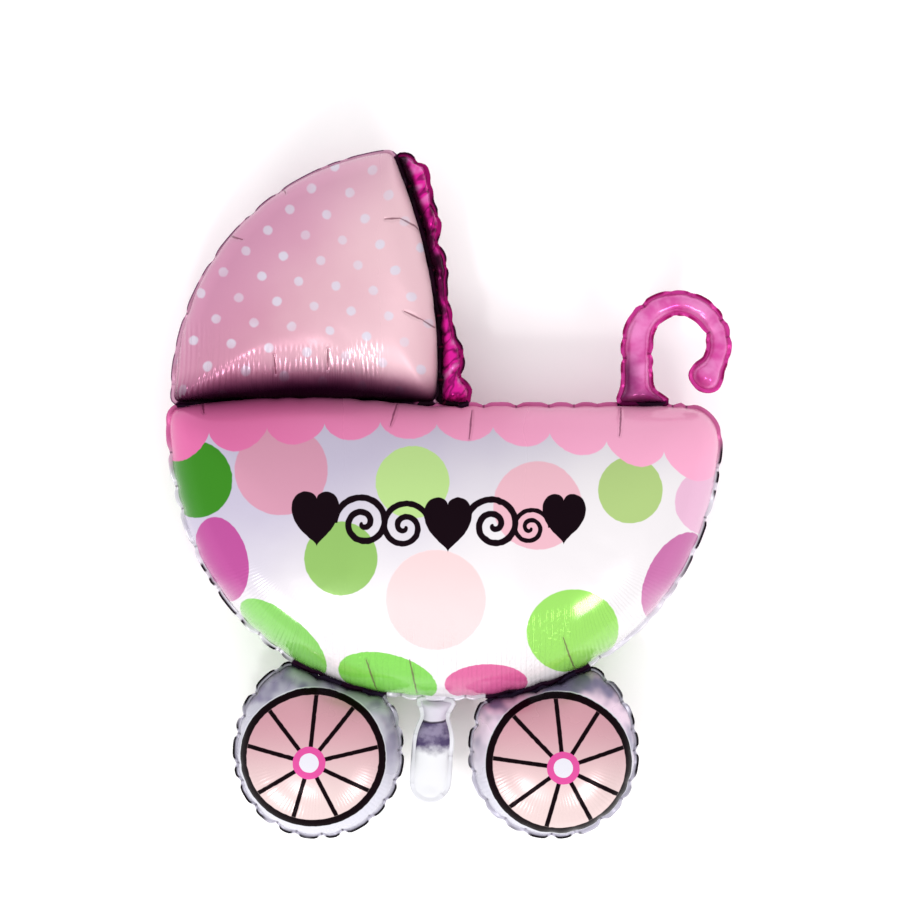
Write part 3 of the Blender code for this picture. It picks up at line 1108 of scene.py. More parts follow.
class Ink(Enum):
    """Screen colours of the print, and of the shade, shadows and highlights painted on it."""

    HOOD_SHADED_LEFT = (210, 144, 170)
    HOOD_LIT_RIGHT = (244, 204, 213)
    HOOD_OUTER = (220, 152, 190)
    HOOD_DOT = (226, 224, 240)
    HOOD_PAINTED_SHADE = (126, 40, 96)
    HOOD_PAINTED_SHADOW = (26, 0, 20)
    HOOD_RIM = (150, 84, 136)
    GROUND_PAINTED_SHADE = (202, 194, 216)
    GROUND = (242, 237, 240)
    MOTIF = (18, 2, 12)
    BAND_SHADED_LEFT = (230, 114, 172)
    BAND_LIT_RIGHT = (255, 178, 212)
    BAND_HOOD_SHADOW = (196, 60, 130)
    BOWL_RIM_SHADOW = (70, 40, 70)
    TYRE = (222, 220, 232)
    TYRE_SHADE_MOTTLE = (134, 126, 158)
    TYRE_CREASE_SHADE = (60, 52, 74)
    TYRE_RIM = (60, 50, 66)
    TYRE_BOWL_SHADOW = (30, 22, 40)
    RING = (14, 0, 6)
    RING_HALO = (226, 226, 234)
    BLUSH_LOW = (234, 210, 209)
    BLUSH_HIGH = (212, 158, 170)
    HUB_RING = (224, 84, 160)
    HUB_DISC = (232, 230, 240)
    FRILL = (236, 36, 164)
    FRILL_CRUMPLE_SHADE = (120, 0, 74)
    FRILL_PAINTED_HIGHLIGHT = (246, 136, 210)
    FRILL_CREASE_SHADE = (60, 0, 40)
    FRILL_PAINTED_SHADOW = (22, 2, 16)
    HANDLE = (224, 78, 168)
    HANDLE_PALE = (250, 146, 212)
    HANDLE_SHADE = (112, 4, 88)
    HANDLE_RIM = (176, 24, 112)
    TAIL_MILK = (238, 238, 242)
    TAIL_MOUTH = (222, 216, 230)
    TAIL_PALE = (146, 136, 164)
    TAIL_GREY = (80, 68, 104)
    TAIL_LINE = (40, 26, 50)
    EDGE_PINK = (216, 110, 166)


def rgb(red: int, green: int, blue: int) -> tuple[float, float, float, float]:
    """Turn a screen colour into a scene colour.

    Args:
        red: 0 to 255.
        green: 0 to 255.
        blue: 0 to 255.

    Returns:
        The linear colour, with alpha.
    """
    parts = [c / 255 for c in (red, green, blue)]
    linear = [c / 12.92 if c <= 0.04045 else ((c + 0.055) / 1.055) ** 2.4 for c in parts]
    return (*[c * INK_SHARE for c in linear], 1.0)


def millimetres(x: float, y: float) -> tuple[float, float, float]:
    """Turn a printed mark's place from millimetres into metres."""
    return (x / 1000, y / 1000, 0.0)


class Graph:
    """A node tree under construction."""

    def __init__(self, tree: bpy.types.NodeTree) -> None:
        """Keep the node tree to add to."""
        self.tree = tree

    def node(self, kind: str, **settings: object) -> bpy.types.Node:
        """Add a node.

        Args:
            kind: The node's type.
            **settings: Its properties.

        Returns:
            The node.
        """
        made = self.tree.nodes.new(kind)
        for name, value in settings.items():
            setattr(made, name, value)
        return made

    def feed(self, socket: Socket, value: object) -> None:
        """Link a socket or set its value.

        Args:
            socket: The input.
            value: An output to link, a constant or an ink.
        """
        if isinstance(value, bpy.types.NodeSocket):
            self.tree.links.new(value, socket)
        else:
            socket.default_value = rgb(*value.value) if isinstance(value, Ink) else value

    def math(self, operation: str, *values: object) -> Socket:
        """Add a math node.

        Args:
            operation: The operation's name.
            *values: Its inputs.

        Returns:
            The result.
        """
        made = self.node("ShaderNodeMath", operation=operation)
        for socket, value in zip(made.inputs, values):
            self.feed(socket, value)
        return made.outputs[0]

    def vector(self, operation: str, *values: object) -> Socket:
        """Add a vector math node.

        Args:
            operation: The operation's name.
            *values: Its inputs.

        Returns:
            The vector, or the number for LENGTH and DOT_PRODUCT.
        """
        made = self.node("ShaderNodeVectorMath", operation=operation)
        for socket, value in zip(made.inputs, values):
            self.feed(socket, value)
        return made.outputs["Value" if operation in ("LENGTH", "DOT_PRODUCT") else "Vector"]

    def dot(self, first: object, second: object) -> Socket:
        """Take the dot product of two vectors."""
        return self.vector("DOT_PRODUCT", first, second)

    def chain(self, operation: str, values: tuple[object, ...]) -> Socket:
        """Take numbers together from left to right."""
        return reduce(lambda total, value: self.math(operation, total, value), values)

    def times(self, *values: object) -> Socket:
        """Multiply numbers."""
        return self.chain("MULTIPLY", values)

    def plus(self, *values: object) -> Socket:
        """Add numbers."""
        return self.chain("ADD", values)

    def most(self, *values: object) -> Socket:
        """Find the largest number."""
        return self.chain("MAXIMUM", values)

    def minus(self, first: object, second: object) -> Socket:
        """Take the second number from the first."""
        return self.math("SUBTRACT", first, second)

    def over(self, first: object, second: object) -> Socket:
        """Divide the first number by the second."""
        return self.math("DIVIDE", first, second)

    def size(self, value: object) -> Socket:
        """Drop a number's sign."""
        return self.math("ABSOLUTE", value)

    def ramp(
        self, value: object, low: float, high: float, start: float = 0.0, end: float = 1.0
    ) -> Socket:
        """Turn a range of values smoothly into another.

        Args:
            value: The value.
            low: Where the change starts.
            high: Where it ends.
            start: The result at low.
            end: The result at high.

        Returns:
            The result.
        """
        made = self.node("ShaderNodeMapRange", interpolation_type="SMOOTHSTEP")
        for socket, given in zip(made.inputs, (value, low, high, start, end)):
            self.feed(socket, given)
        return made.outputs[0]

    def mix(self, share: object, first: object, second: object) -> Socket:
        """Mix two colours.

        Args:
            share: How much of the second.
            first: The colour at 0.
            second: The colour at 1.

        Returns:
            The mixed colour.
        """
        made = self.node("ShaderNodeMix", data_type="RGBA")
        self.feed(made.inputs["Factor"], share)
        self.feed(made.inputs[6], first)
        self.feed(made.inputs[7], second)
        return made.outputs[2]

    def parts(self, value: object) -> tuple[Socket, ...]:
        """Split a vector.

        Args:
            value: The vector.

        Returns:
            Its three parts.
        """
        made = self.node("ShaderNodeSeparateXYZ")
        self.feed(made.inputs[0], value)
        return tuple(made.outputs)

    def join(self, x: object, y: object) -> Socket:
        """Make a vector in the plane.

        Args:
            x: Its first part.
            y: Its second part.

        Returns:
            The vector.
        """
        made = self.node("ShaderNodeCombineXYZ")
        self.feed(made.inputs[0], x)
        self.feed(made.inputs[1], y)
        return made.outputs[0]

    def uv(self, name: str) -> Socket:
        """Read the coordinates of a UV map."""
        return self.node("ShaderNodeUVMap", uv_map=name).outputs[0]

    def noise(self, place: object, scale: float, detail: float = 2.0) -> Socket:
        """Add a noise texture.

        Args:
            place: Its coordinates.
            scale: Its scale.
            detail: Its detail.

        Returns:
            The noise from 0 to 1.
        """
        made = self.node("ShaderNodeTexNoise")
        self.feed(made.inputs["Vector"], place)
        self.feed(made.inputs["Scale"], scale)
        self.feed(made.inputs["Detail"], detail)
        return made.outputs[0]

    def use(self, group: bpy.types.NodeTree, **inputs: object) -> Socket:
        """Use a shared node group.

        Args:
            group: The group.
            **inputs: Its inputs by name.

        Returns:
            Its one output.
        """
        made = self.node("ShaderNodeGroup", node_tree=group)
        for name, value in inputs.items():
            self.feed(made.inputs[name], value)
        return made.outputs[0]

    def give(self, name: str, value: Socket) -> bpy.types.NodeTree:
        """Finish a shared node group with its one output value.

        Args:
            name: The output's name.
            value: The output.

        Returns:
            The group.
        """
        self.tree.interface.new_socket(name, in_out="OUTPUT", socket_type="NodeSocketFloat")
        self.feed(self.node("NodeGroupOutput").inputs[0], value)
        return self.tree


def shared(name: str, vectors: tuple[str, ...], values: tuple[str, ...]) -> tuple[Graph, dict[str, Socket]]:
    """Start a shared node group.

    Args:
        name: The group's name.
        vectors: Names of its vector inputs.
        values: Names of its number inputs.

    Returns:
        The graph and the group's inputs by name.
    """
    tree = bpy.data.node_groups.new(name, "ShaderNodeTree")
    for kind, titles in (("NodeSocketVector", vectors), ("NodeSocketFloat", values)):
        for title in titles:
            tree.interface.new_socket(title, in_out="INPUT", socket_type=kind)
    graph = Graph(tree)
    sockets = graph.node("NodeGroupInput").outputs
    return graph, {title: sockets[title] for title in (*vectors, *values)}


class Gathering(Enum):
    """Which way fine gathers run: square to the weld, or upright."""

    WELD = "weld"
    UPRIGHT = "upright"


class Rim(Enum):
    """Where the painted dark reflections along a border's rim lie, by shares of the way to its weld."""

    BROAD = (1.02, 1.06)
    THIN = (1.05, 1.09)


@dataclass(frozen=True)
class Gathers:
    """Fine gathers: their strength, the heights between which they fade out, and their way."""

    strength: float = 0.0
    low: float = 0.0
    high: float = 1.0
    way: Gathering = Gathering.WELD


@dataclass(frozen=True)
class Dull:
    """A duller stretch: its middle in X, where it starts and ends to fade, and how much duller."""

    middle: float
    inner: float
    outer: float
    more: float


@dataclass(frozen=True)
class Finish:
    """A film's looks besides its print, with the colour of the shade painted into its creases and folds."""

    metallic: float
    roughness: float
    crumple: float
    crease_shade_ink: Colour
    gathers: Gathers = Gathers()
    crease_least: float = 0.3
    folds: tuple[tuple[Point, Point], ...] = ()
    dull: Dull | None = None
    gloss_below: float = -1.0


@dataclass(frozen=True)
class Border:
    """A border's inks: its own, its painted dark reflections', how little they cover, and the painted shade
    of its valleys.
    """

    ink: Colour
    dark: Colour
    least: float
    valley: Colour
    rim: Rim
    finish: Finish


@dataclass(frozen=True)
class Spot:
    """A printed round or oval: its centre and radii in millimetres, its turn in degrees and its ink."""

    centre: Point
    radii: Point
    turn: float
    ink: Colour


@dataclass(frozen=True)
class WheelPrint:
    """A wheel's print in millimetres, with its spokes' directions in degrees and the colour of its top,
    painted mottled with shade under the bowl.
    """

    ring: Point
    radii: Point
    hub: Point
    spokes: tuple[float, ...]
    above: Colour


BOWL_SPOTS = (
    Spot((-245, -76), (36, 38), 0, (62, 140, 36)),
    Spot((-162, -66), (46, 45), 0, (218, 156, 180)),
    Spot((-32, -78), (37, 36), 0, (192, 226, 146)),
    Spot((-103, -153), (37, 37), 0, (150, 194, 106)),
    Spot((-9, -194), (50, 50), 0, (254, 214, 216)),
    Spot((92, -101), (45, 44), 0, (240, 188, 202)),
    Spot((183, -86), (32, 33), 0, (180, 208, 132)),
    Spot((262, -98), (36, 34), 0, (238, 190, 218)),
    Spot((-220, -154), (26, 43), 14, (190, 84, 156)),
    Spot((225, -171), (26, 48), -28, (202, 116, 172)),
    Spot((126, -224), (46, 41), 12, (152, 220, 92)),
    Spot((-160, -231), (54, 22), -42, (132, 206, 92)),
    Spot((-57, -271), (51, 24), -14, (130, 212, 82)),
    Spot((41, -276), (42, 19), 2, (220, 98, 156)),
)

# Centre and size of each heart, and centre, size and way round of each curl, in millimetres.
BOWL_HEARTS = (((-128, -118), 24), ((3, -124), 24), ((118, -118), 22))
BOWL_CURLS = (
    ((-81, -118), 25.5, 1.0), ((-40, -122), 23.5, -1.0), ((48, -120), 25.5, 1.0), ((84, -123), 18, -1.0),
)

# Start and end of each sharp fold, in millimetres; each is pressed in and painted with shade.
BOWL_FOLDS = (
    ((-48, -4), (-54, -23)), ((27, -9), (24, -36)), ((175, -6), (173, -33)), ((-78, -253), (-68, -283)),
    ((-35, -253), (-28, -286)), ((118, -231), (130, -263)), ((-240, -4), (-238, -12)),
)
HOOD_FOLDS = (
    ((-216, 165), (-200, 162)), ((-162, 214), (-157, 208)), ((-60, 182), (-47, 182)),
    ((-47, 182), (-22, 167)), ((-41, 92), (-24, 85)), ((-24, 85), (-12, 76)),
    ((-169, 47), (-167, 31)), ((-117, 52), (-117, 34)),
)

# One dot of the hood, and the two steps from dot to dot, in millimetres.
HOOD_DOT_FIRST = (-167, 100)
HOOD_DOT_STEPS = ((37, -4.5), (22, 20.8))

WHEEL_PRINTS = {
    Part.WHEEL_LEFT: WheelPrint(
        ring=(-131.3, -351.7),
        radii=(70, 66.5),
        hub=(-135, -357),
        spokes=(127, 84, 51, 13, -25, -62.6, -106, -149, 164.6),
        above=(196, 194, 208),
    ),
    Part.WHEEL_RIGHT: WheelPrint(
        ring=(113.3, -357.6),
        radii=(70.3, 68.2),
        hub=(117.5, -362),
        spokes=(134, 96, 58, 19, -26, -62, -106, -144, 172),
        above=(252, 222, 242),
    ),
}

WHEEL_FINISH = Finish(
    metallic=0.24,
    roughness=0.26,
    crumple=0.5,
    crease_shade_ink=(34, 26, 44),
    gathers=Gathers(0.12, -0.39, -0.35),
    crease_least=0.06,
)
WELDED = Finish(metallic=0.2, roughness=0.3, crumple=0.5, crease_shade_ink=(40, 20, 44))
GLOSSY = Finish(metallic=0.4, roughness=0.3, crumple=0.8, crease_shade_ink=(96, 14, 50))
MILKY = Finish(metallic=0.0, roughness=0.4, crumple=0.5, crease_shade_ink=(206, 204, 212))
FINISHES = {
    Part.BOWL: Finish(
        metallic=0.18,
        roughness=0.22,
        crumple=0.4,
        crease_shade_ink=(96, 20, 60),
        gathers=Gathers(0.34, -0.22, -0.14),
        folds=BOWL_FOLDS,
        dull=Dull(middle=-0.010, inner=0.055, outer=0.100, more=0.35),
        gloss_below=-0.165,
    ),
    Part.HOOD: Finish(
        metallic=0.32,
        roughness=0.20,
        crumple=0.5,
        crease_shade_ink=(96, 14, 50),
        gathers=Gathers(0.55, 0.060, 0.090, Gathering.UPRIGHT),
        folds=HOOD_FOLDS,
        dull=Dull(middle=-0.010, inner=0.035, outer=0.065, more=0.25),
    ),
    Part.WHEEL_LEFT: WHEEL_FINISH,
    Part.WHEEL_RIGHT: WHEEL_FINISH,
    Part.FRILL: Finish(metallic=0.45, roughness=0.20, crumple=6.0, crease_shade_ink=(96, 8, 66)),
    Part.HANDLE: Finish(metallic=0.40, roughness=0.20, crumple=1.2, crease_shade_ink=(110, 10, 80)),
    Part.TAIL: MILKY,
}

# Each border: its ink, its painted dark reflection, its least cover, the painted shade of its valleys, its
# rim and its finish.
WHEEL_BORDER = Border((200, 196, 212), (14, 8, 18), 0.44, (44, 30, 56), Rim.BROAD, WELDED)
BORDERS = {
    Part.BOWL: Border((236, 232, 242), (24, 12, 28), 0.40, (44, 10, 40), Rim.BROAD, WELDED),
    Part.HOOD: Border((226, 172, 200), (112, 60, 100), 0.34, (34, 2, 26), Rim.THIN, WELDED),
    Part.WHEEL_LEFT: WHEEL_BORDER,
    Part.WHEEL_RIGHT: WHEEL_BORDER,
    Part.FRILL: Border((160, 16, 104), (50, 2, 36), 0.46, (20, 0, 14), Rim.BROAD, GLOSSY),
    Part.HANDLE: Border((218, 66, 160), (150, 16, 90), 0.48, (100, 6, 70), Rim.BROAD, GLOSSY),
    Part.TAIL: Border((232, 232, 238), (190, 188, 196), 0.60, (232, 230, 238), Rim.THIN, MILKY),
}


class Surface:
    """A film's coordinates in the graph of its material."""

    def __init__(self, graph: Graph) -> None:
        """Read the coordinates.

        Args:
            graph: The material's graph.
        """
        self.graph = graph
        self.place, self.weld, self.crease = (graph.uv(name) for name in ("print", "weld", "crease"))
        self.across, self.up, _ = graph.parts(self.place)
        self.run, self.share, _ = graph.parts(self.weld)
        self.gap, _, _ = graph.parts(self.crease)


Paint = Callable[[Surface], Socket]


class Effects:
    """The shared node groups: relief, creases, folds and printed shapes."""

    def __init__(self) -> None:
        """Make the node groups."""
        self.fold = self._fold()
        self.relief = self._relief()
        self.crease = self._crease()
        self.disc = self._disc()
        self.heart = self._heart()
        self.curl = self._curl()

    @staticmethod
    def _relief() -> bpy.types.NodeTree:
        """Make the fine gathers that run in from a weld, and the film's slight crumple.

        Returns:
            The node group.
        """
        graph, given = shared("film_relief", ("Place", "Weld"), ("Run", "Gathers", "Crumple"))
        _, share, _ = graph.parts(given["Weld"])
        drawn_out = graph.join(graph.times(given["Run"], 45.0), graph.times(share, 2.0))
        drift = graph.times(graph.noise(drawn_out, 1.0), 7.0)
        wave = graph.math("SINE", graph.plus(graph.times(given["Run"], math.tau / 0.0050), drift))
        strength = graph.ramp(graph.noise(drawn_out, 1.7), 0.35, 0.6, 0.55, 1.0)
        gathers = graph.times(wave, strength, graph.ramp(share, 0.30, 0.62), given["Gathers"])
        crumple = graph.times(graph.noise(given["Place"], 34.0, 3.0), given["Crumple"])
        return graph.give("Height", graph.plus(gathers, crumple))

    @staticmethod
    def _crease() -> bpy.types.NodeTree:
        """Make the sharp line at the bottom of a pucker.

        Returns:
            The node group.
        """
        graph, given = shared("pucker_line", ("Crease",), ("Width", "Least"))
        gap, strength, _ = graph.parts(given["Crease"])
        line = graph.minus(1.0, graph.over(graph.size(gap), given["Width"]))
        strong = graph.ramp(strength, given["Least"], 0.9)
        return graph.give("Mask", graph.times(graph.most(line, 0.0), strong))

    @staticmethod
    def _fold() -> bpy.types.NodeTree:
        """Make a short sharp fold between two points, thinner at its ends.

        Returns:
            The node group.
        """
        graph, given = shared("fold_line", ("Place", "From", "Along"), ("Width",))
        along = given["Along"]
        offset = graph.vector("SUBTRACT", given["Place"], given["From"])
        run = graph.over(graph.dot(offset, along), graph.dot(along, along))
        run = graph.math("MINIMUM", graph.most(run, 0.0), 1.0)
        nearest = graph.node("ShaderNodeVectorMath", operation="SCALE")
        graph.feed(nearest.inputs[0], along)
        graph.feed(nearest.inputs["Scale"], run)
        gap = graph.vector("LENGTH", graph.vector("SUBTRACT", offset, nearest.outputs[0]))
        width = graph.times(given["Width"], graph.minus(1.15, graph.size(graph.minus(run, 0.5))))
        return graph.give("Mask", graph.ramp(graph.over(gap, width), 0.2, 1.0, 1.0, 0.0))

    @staticmethod
    def _disc() -> bpy.types.NodeTree:
        """Make a printed round or oval.

        Returns:
            The node group.
        """
        graph, given = shared("printed_disc", ("Place", "Centre", "Radii"), ("Turn", "Edge"))
        turned = graph.node("ShaderNodeVectorRotate", rotation_type="Z_AXIS")
        graph.feed(turned.inputs["Vector"], graph.vector("SUBTRACT", given["Place"], given["Centre"]))
        graph.feed(turned.inputs["Angle"], given["Turn"])
        reach = graph.vector("LENGTH", graph.vector("DIVIDE", turned.outputs[0], given["Radii"]))
        return graph.give("Mask", graph.ramp(reach, graph.minus(1.0, given["Edge"]), 1.0, 1.0, 0.0))

    @staticmethod
    def _heart() -> bpy.types.NodeTree:
        """Make a printed heart.

        Returns:
            The node group.
        """
        graph, given = shared("printed_heart", ("Place", "Centre"), ("Size",))
        x, y, _ = graph.parts(graph.vector("SUBTRACT", given["Place"], given["Centre"]))
        across = graph.size(graph.over(x, given["Size"]))
        lift = graph.times(graph.math("SQRT", across), 0.62)
        up = graph.minus(graph.over(y, given["Size"]), lift)
        reach = graph.plus(graph.times(across, across), graph.times(up, up))
        return graph.give("Mask", graph.ramp(reach, 0.94, 1.0, 1.0, 0.0))

    @staticmethod
    def _curl() -> bpy.types.NodeTree:
        """Make a printed curl that winds outwards.

        Returns:
            The node group.
        """
        graph, given = shared("printed_curl", ("Place", "Centre"), ("Size", "Way"))
        offset = graph.vector("SUBTRACT", given["Place"], given["Centre"])
        x, y, _ = graph.parts(offset)
        angle = graph.over(graph.math("ARCTAN2", y, graph.times(x, given["Way"])), math.tau)
        reach = graph.over(graph.vector("LENGTH", offset), given["Size"])
        turns = graph.minus(graph.times(reach, 1.8), angle)
        line = graph.ramp(graph.size(graph.minus(graph.math("FRACT", turns), 0.5)), 0.20, 0.25, 1.0, 0.0)
        within = graph.ramp(graph.minus(reach, graph.times(angle, 0.55)), 0.97, 1.0, 1.0, 0.0)
        return graph.give("Mask", graph.times(line, within))

    def folds(self, at: Surface, lines: tuple[tuple[Point, Point], ...], width: float) -> Socket | float:
        """Gather several folds into one mask.

        Args:
            at: The film.
            lines: Start and end of each fold, in millimetres.
            width: Half width of a fold in metres.

        Returns:
            The mask, or 0 where there are no folds.
        """
        masks = []
        for start, end in lines:
            along = millimetres(end[0] - start[0], end[1] - start[1])
            start = millimetres(*start)
            masks.append(at.graph.use(self.fold, Place=at.place, From=start, Along=along, Width=width))
        return at.graph.most(*masks) if masks else 0.0

    def oval(self, at: Surface, centre: Point, radii: Point, turn: float = 0.0, edge: float = 0.01) -> Socket:
        """Print a round or oval.

        Args:
            at: The film.
            centre: Its centre in millimetres.
            radii: Its radii in millimetres.
            turn: Its turn in degrees.
            edge: How soft its edge is.

        Returns:
            The mask.
        """
        return at.graph.use(
            self.disc,
            Place=at.place,
            Centre=millimetres(*centre),
            Radii=(radii[0] / 1000, radii[1] / 1000, 1.0),
            Turn=math.radians(-turn),
            Edge=edge,
        )


class Prints:
    """What is printed on each chamber's film and border, with the shade, shadows and highlights painted with
    it.
    """

    def __init__(self, effects: Effects) -> None:
        """Keep the shared effects."""
        self.effects = effects

    def paints(self) -> dict[Part, Paint]:
        """List what paints each chamber.

        Returns:
            The paints by chamber.
        """
        return {
            Part.BOWL: self._bowl,
            Part.HOOD: self._hood,
            Part.WHEEL_LEFT: self._wheel(WHEEL_PRINTS[Part.WHEEL_LEFT]),
            Part.WHEEL_RIGHT: self._wheel(WHEEL_PRINTS[Part.WHEEL_RIGHT]),
            Part.FRILL: self._frill,
            Part.HANDLE: self._handle,
            Part.TAIL: self._tail,
        }

    @staticmethod
    def _dots(at: Surface) -> Socket:
        """Print the hood's rows of dots.

        Args:
            at: The film.

        Returns:
            The mask.
        """
        graph = at.graph
        offset = graph.vector("SUBTRACT", at.place, millimetres(*HOOD_DOT_FIRST))
        (ax, ay), (bx, by) = ((x / 1000, y / 1000) for x, y in HOOD_DOT_STEPS)
        area = ax * by - ay * bx
        column = graph.dot(offset, (by / area, -bx / area, 0.0))
        cells = graph.join(column, graph.dot(offset, (-ay / area, ax / area, 0.0)))
        half = (0.5, 0.5, 0.0)
        past = graph.vector("SUBTRACT", graph.vector("FRACTION", graph.vector("ADD", cells, half)), half)
        reach = graph.join(graph.dot(past, (ax, bx, 0.0)), graph.dot(past, (ay, by, 0.0)))
        return graph.ramp(graph.vector("LENGTH", reach), 0.0036, 0.0056, 1.0, 0.0)

    def _hood(self, at: Surface) -> Socket:
        """Paint the hood: pale pink with white dots, with painted shade darker at its left and a painted dark
        band where it turns down to the bowl.

        Args:
            at: The film.

        Returns:
            The colour.
        """
        graph = at.graph
        cloud = graph.noise(at.place, 13.0, 3.0)
        ragged = graph.minus(cloud, 0.5)
        # Painted shade: the hood is darker at its left and lighter at its right, where the light falls.
        drift = graph.plus(at.across, graph.times(ragged, 0.10))
        colour = graph.mix(graph.ramp(drift, -0.27, -0.02), Ink.HOOD_SHADED_LEFT, Ink.HOOD_LIT_RIGHT)
        outer = graph.ramp(graph.minus(at.across, at.up), -0.37, -0.22, 0.6, 0.0)
        colour = graph.mix(outer, colour, Ink.HOOD_OUTER)
        faint = graph.ramp(graph.noise(at.place, 26.0, 1.0), 0.35, 0.65, 0.45, 0.85)
        colour = graph.mix(graph.times(self._dots(at), faint), colour, Ink.HOOD_DOT)
        # Painted shade: a dark band along the hood's foot where it turns down to the bowl, tallest in its
        # middle.
        aside = graph.plus(at.across, 0.133)
        height = graph.plus(at.up, graph.times(aside, aside, 1.1), graph.times(ragged, 0.010))
        colour = graph.mix(graph.ramp(height, 0.022, 0.052, 0.90, 0.0), colour, Ink.HOOD_PAINTED_SHADE)
        colour = graph.mix(graph.ramp(height, 0.018, 0.040, 0.99, 0.0), colour, Ink.HOOD_PAINTED_SHADOW)
        return graph.mix(graph.ramp(at.share, 0.988, 1.0, 0.0, 0.5), colour, Ink.HOOD_RIM)

    def _motif(self, at: Surface, colour: Socket) -> Socket:
        """Print the row of hearts and curls.

        Args:
            at: The film.
            colour: The colour below it.

        Returns:
            The colour.
        """
        graph = at.graph
        for centre, size in BOWL_HEARTS:
            centre = millimetres(*centre)
            mask = graph.use(self.effects.heart, Place=at.place, Centre=centre, Size=size / 1000)
            colour = graph.mix(mask, colour, Ink.MOTIF)
        for centre, size, way in BOWL_CURLS:
            centre = millimetres(*centre)
            mask = graph.use(self.effects.curl, Place=at.place, Centre=centre, Size=size / 1000, Way=way)
            colour = graph.mix(mask, colour, Ink.MOTIF)
        return colour

    def _bowl(self, at: Surface) -> Socket:
        """Paint the bowl: a scalloped pink band over big spots on lilac white, with painted shade under the
        hood and a painted shadow line above the wheels.

        Args:
            at: The film.

        Returns:
            The colour.
        """
        graph, across, up = at.graph, at.across, at.up
        cloud = graph.noise(at.place, 9.0)
        # Painted shade: the lilac white ground turns greyer towards its top and left, below the hood.
        lift = graph.plus(graph.minus(graph.times(cloud, 0.09), up), graph.times(across, 0.38))
        colour = graph.mix(graph.ramp(lift, 0.05, 0.22), Ink.GROUND_PAINTED_SHADE, Ink.GROUND)
        for mark in BOWL_SPOTS:
            mask = self.effects.oval(at, mark.centre, mark.radii, mark.turn, 0.03)
            colour = graph.mix(mask, colour, rgb(*mark.ink))
        colour = self._motif(at, colour)
        lobes = graph.math("SINE", graph.times(graph.plus(across, 0.008), math.pi / 0.056))
        lobes = graph.math("POWER", graph.size(lobes), 0.6)
        aside = graph.plus(across, 0.063)
        droop = graph.plus(graph.times(aside, aside, -0.36), -0.0200)
        depth = graph.plus(graph.times(across, across, 0.12), 0.0155)
        hem = graph.minus(droop, graph.times(lobes, depth))
        band = graph.ramp(graph.minus(up, hem), -0.0006, 0.0008)
        # Painted shade: the pink band is darker at its left and deepest just under the rim below the hood,
        # and lighter to the right.
        left = graph.ramp(graph.plus(across, graph.times(cloud, 0.06)), -0.25, 0.24)
        pink = graph.mix(left, Ink.BAND_SHADED_LEFT, Ink.BAND_LIT_RIGHT)
        hood_shadow = graph.ramp(across, -0.15, -0.06, 1.0, 0.3)
        deep = graph.times(graph.ramp(up, -0.016, -0.002, 0.0, 0.35), hood_shadow)
        colour = graph.mix(band, colour, graph.mix(deep, pink, Ink.BAND_HOOD_SHADOW))
        # Painted shadow: a dark line along the bowl's weld, strongest low down above the wheels and absent
        # beside the tail.
        wheels = graph.times(graph.ramp(up, -0.25, -0.21, 0.6, 0.15), self._clear_of_tail(at))
        return graph.mix(graph.times(graph.ramp(at.share, 0.985, 1.0), wheels), colour, Ink.BOWL_RIM_SHADOW)

    def _spokes(self, at: Surface, mark: WheelPrint) -> Socket:
        """Print a wheel's spokes.

        Args:
            at: The film.
            mark: The wheel's print.

        Returns:
            The mask.
        """
        graph = at.graph
        offset = graph.vector("SUBTRACT", at.place, millimetres(*mark.hub))
        spokes = []
        for degrees in mark.spokes:
            cosine, sine = math.cos(math.radians(degrees)), math.sin(math.radians(degrees))
            line = graph.ramp(graph.size(graph.dot(offset, (-sine, cosine, 0.0))), 0.0018, 0.0025, 1.0, 0.0)
            ahead = graph.math("GREATER_THAN", graph.dot(offset, (cosine, sine, 0.0)), 0.0)
            spokes.append(graph.times(line, ahead))
        return graph.most(*spokes)

    def _wheel(self, mark: WheelPrint) -> Paint:
        """Choose a wheel's print.

        Args:
            mark: Where the wheel's ring, hub and spokes are printed.

        Returns:
            What paints it.
        """

        def grown(more: float) -> Point:
            """Widen the ring's radii."""
            return (mark.radii[0] + more, mark.radii[1] + more)

        def paint(at: Surface) -> Socket:
            """Paint the wheel.

            Args:
                at: The film.

            Returns:
                The colour.
            """
            graph, up, disc = at.graph, at.up, self.effects.oval
            cloud = graph.noise(at.place, 30.0)
            # Painted shade: the tyre's top, under the bowl, takes its own colour with darker mottled patches.
            above = graph.mix(graph.ramp(cloud, 0.44, 0.62), rgb(*mark.above), Ink.TYRE_SHADE_MOTTLE)
            upper = graph.ramp(graph.plus(up, graph.times(graph.minus(cloud, 0.5), 0.07)), -0.39, -0.29)
            colour = graph.mix(upper, Ink.TYRE, above)
            colour = graph.mix(disc(at, mark.ring, grown(0.8)), colour, Ink.RING_HALO)
            colour = graph.mix(disc(at, mark.ring, mark.radii), colour, Ink.RING)
            blush = graph.mix(graph.ramp(up, -0.40, -0.31), Ink.BLUSH_LOW, Ink.BLUSH_HIGH)
            inner = disc(at, mark.ring, grown(-6.4))
            colour = graph.mix(inner, colour, blush)
            colour = graph.mix(graph.times(self._spokes(at, mark), inner), colour, Ink.RING)
            colour = graph.mix(disc(at, mark.hub, (16.2, 16.2)), colour, Ink.HUB_RING)
            colour = graph.mix(disc(at, mark.hub, (9.6, 9.6)), colour, Ink.HUB_DISC)
            # Painted shade: dark lines along the puckers near the weld.
            line = graph.ramp(graph.size(at.gap), 0.0004, 0.0017, 0.8, 0.0)
            line = graph.times(line, graph.ramp(at.share, 0.86, 0.92))
            colour = graph.mix(line, colour, Ink.TYRE_CREASE_SHADE)
            colour = graph.mix(graph.ramp(at.share, 0.97, 1.0, 0.0, 0.4), colour, Ink.TYRE_RIM)
            # Painted shadow: dark along the weld at the tyre's top, below the bowl's edge.
            near = graph.ramp(at.share, 0.80, 0.98, 0.0, 0.9)
            return graph.mix(graph.times(graph.ramp(up, -0.312, -0.286), near), colour, Ink.TYRE_BOWL_SHADOW)

        return paint

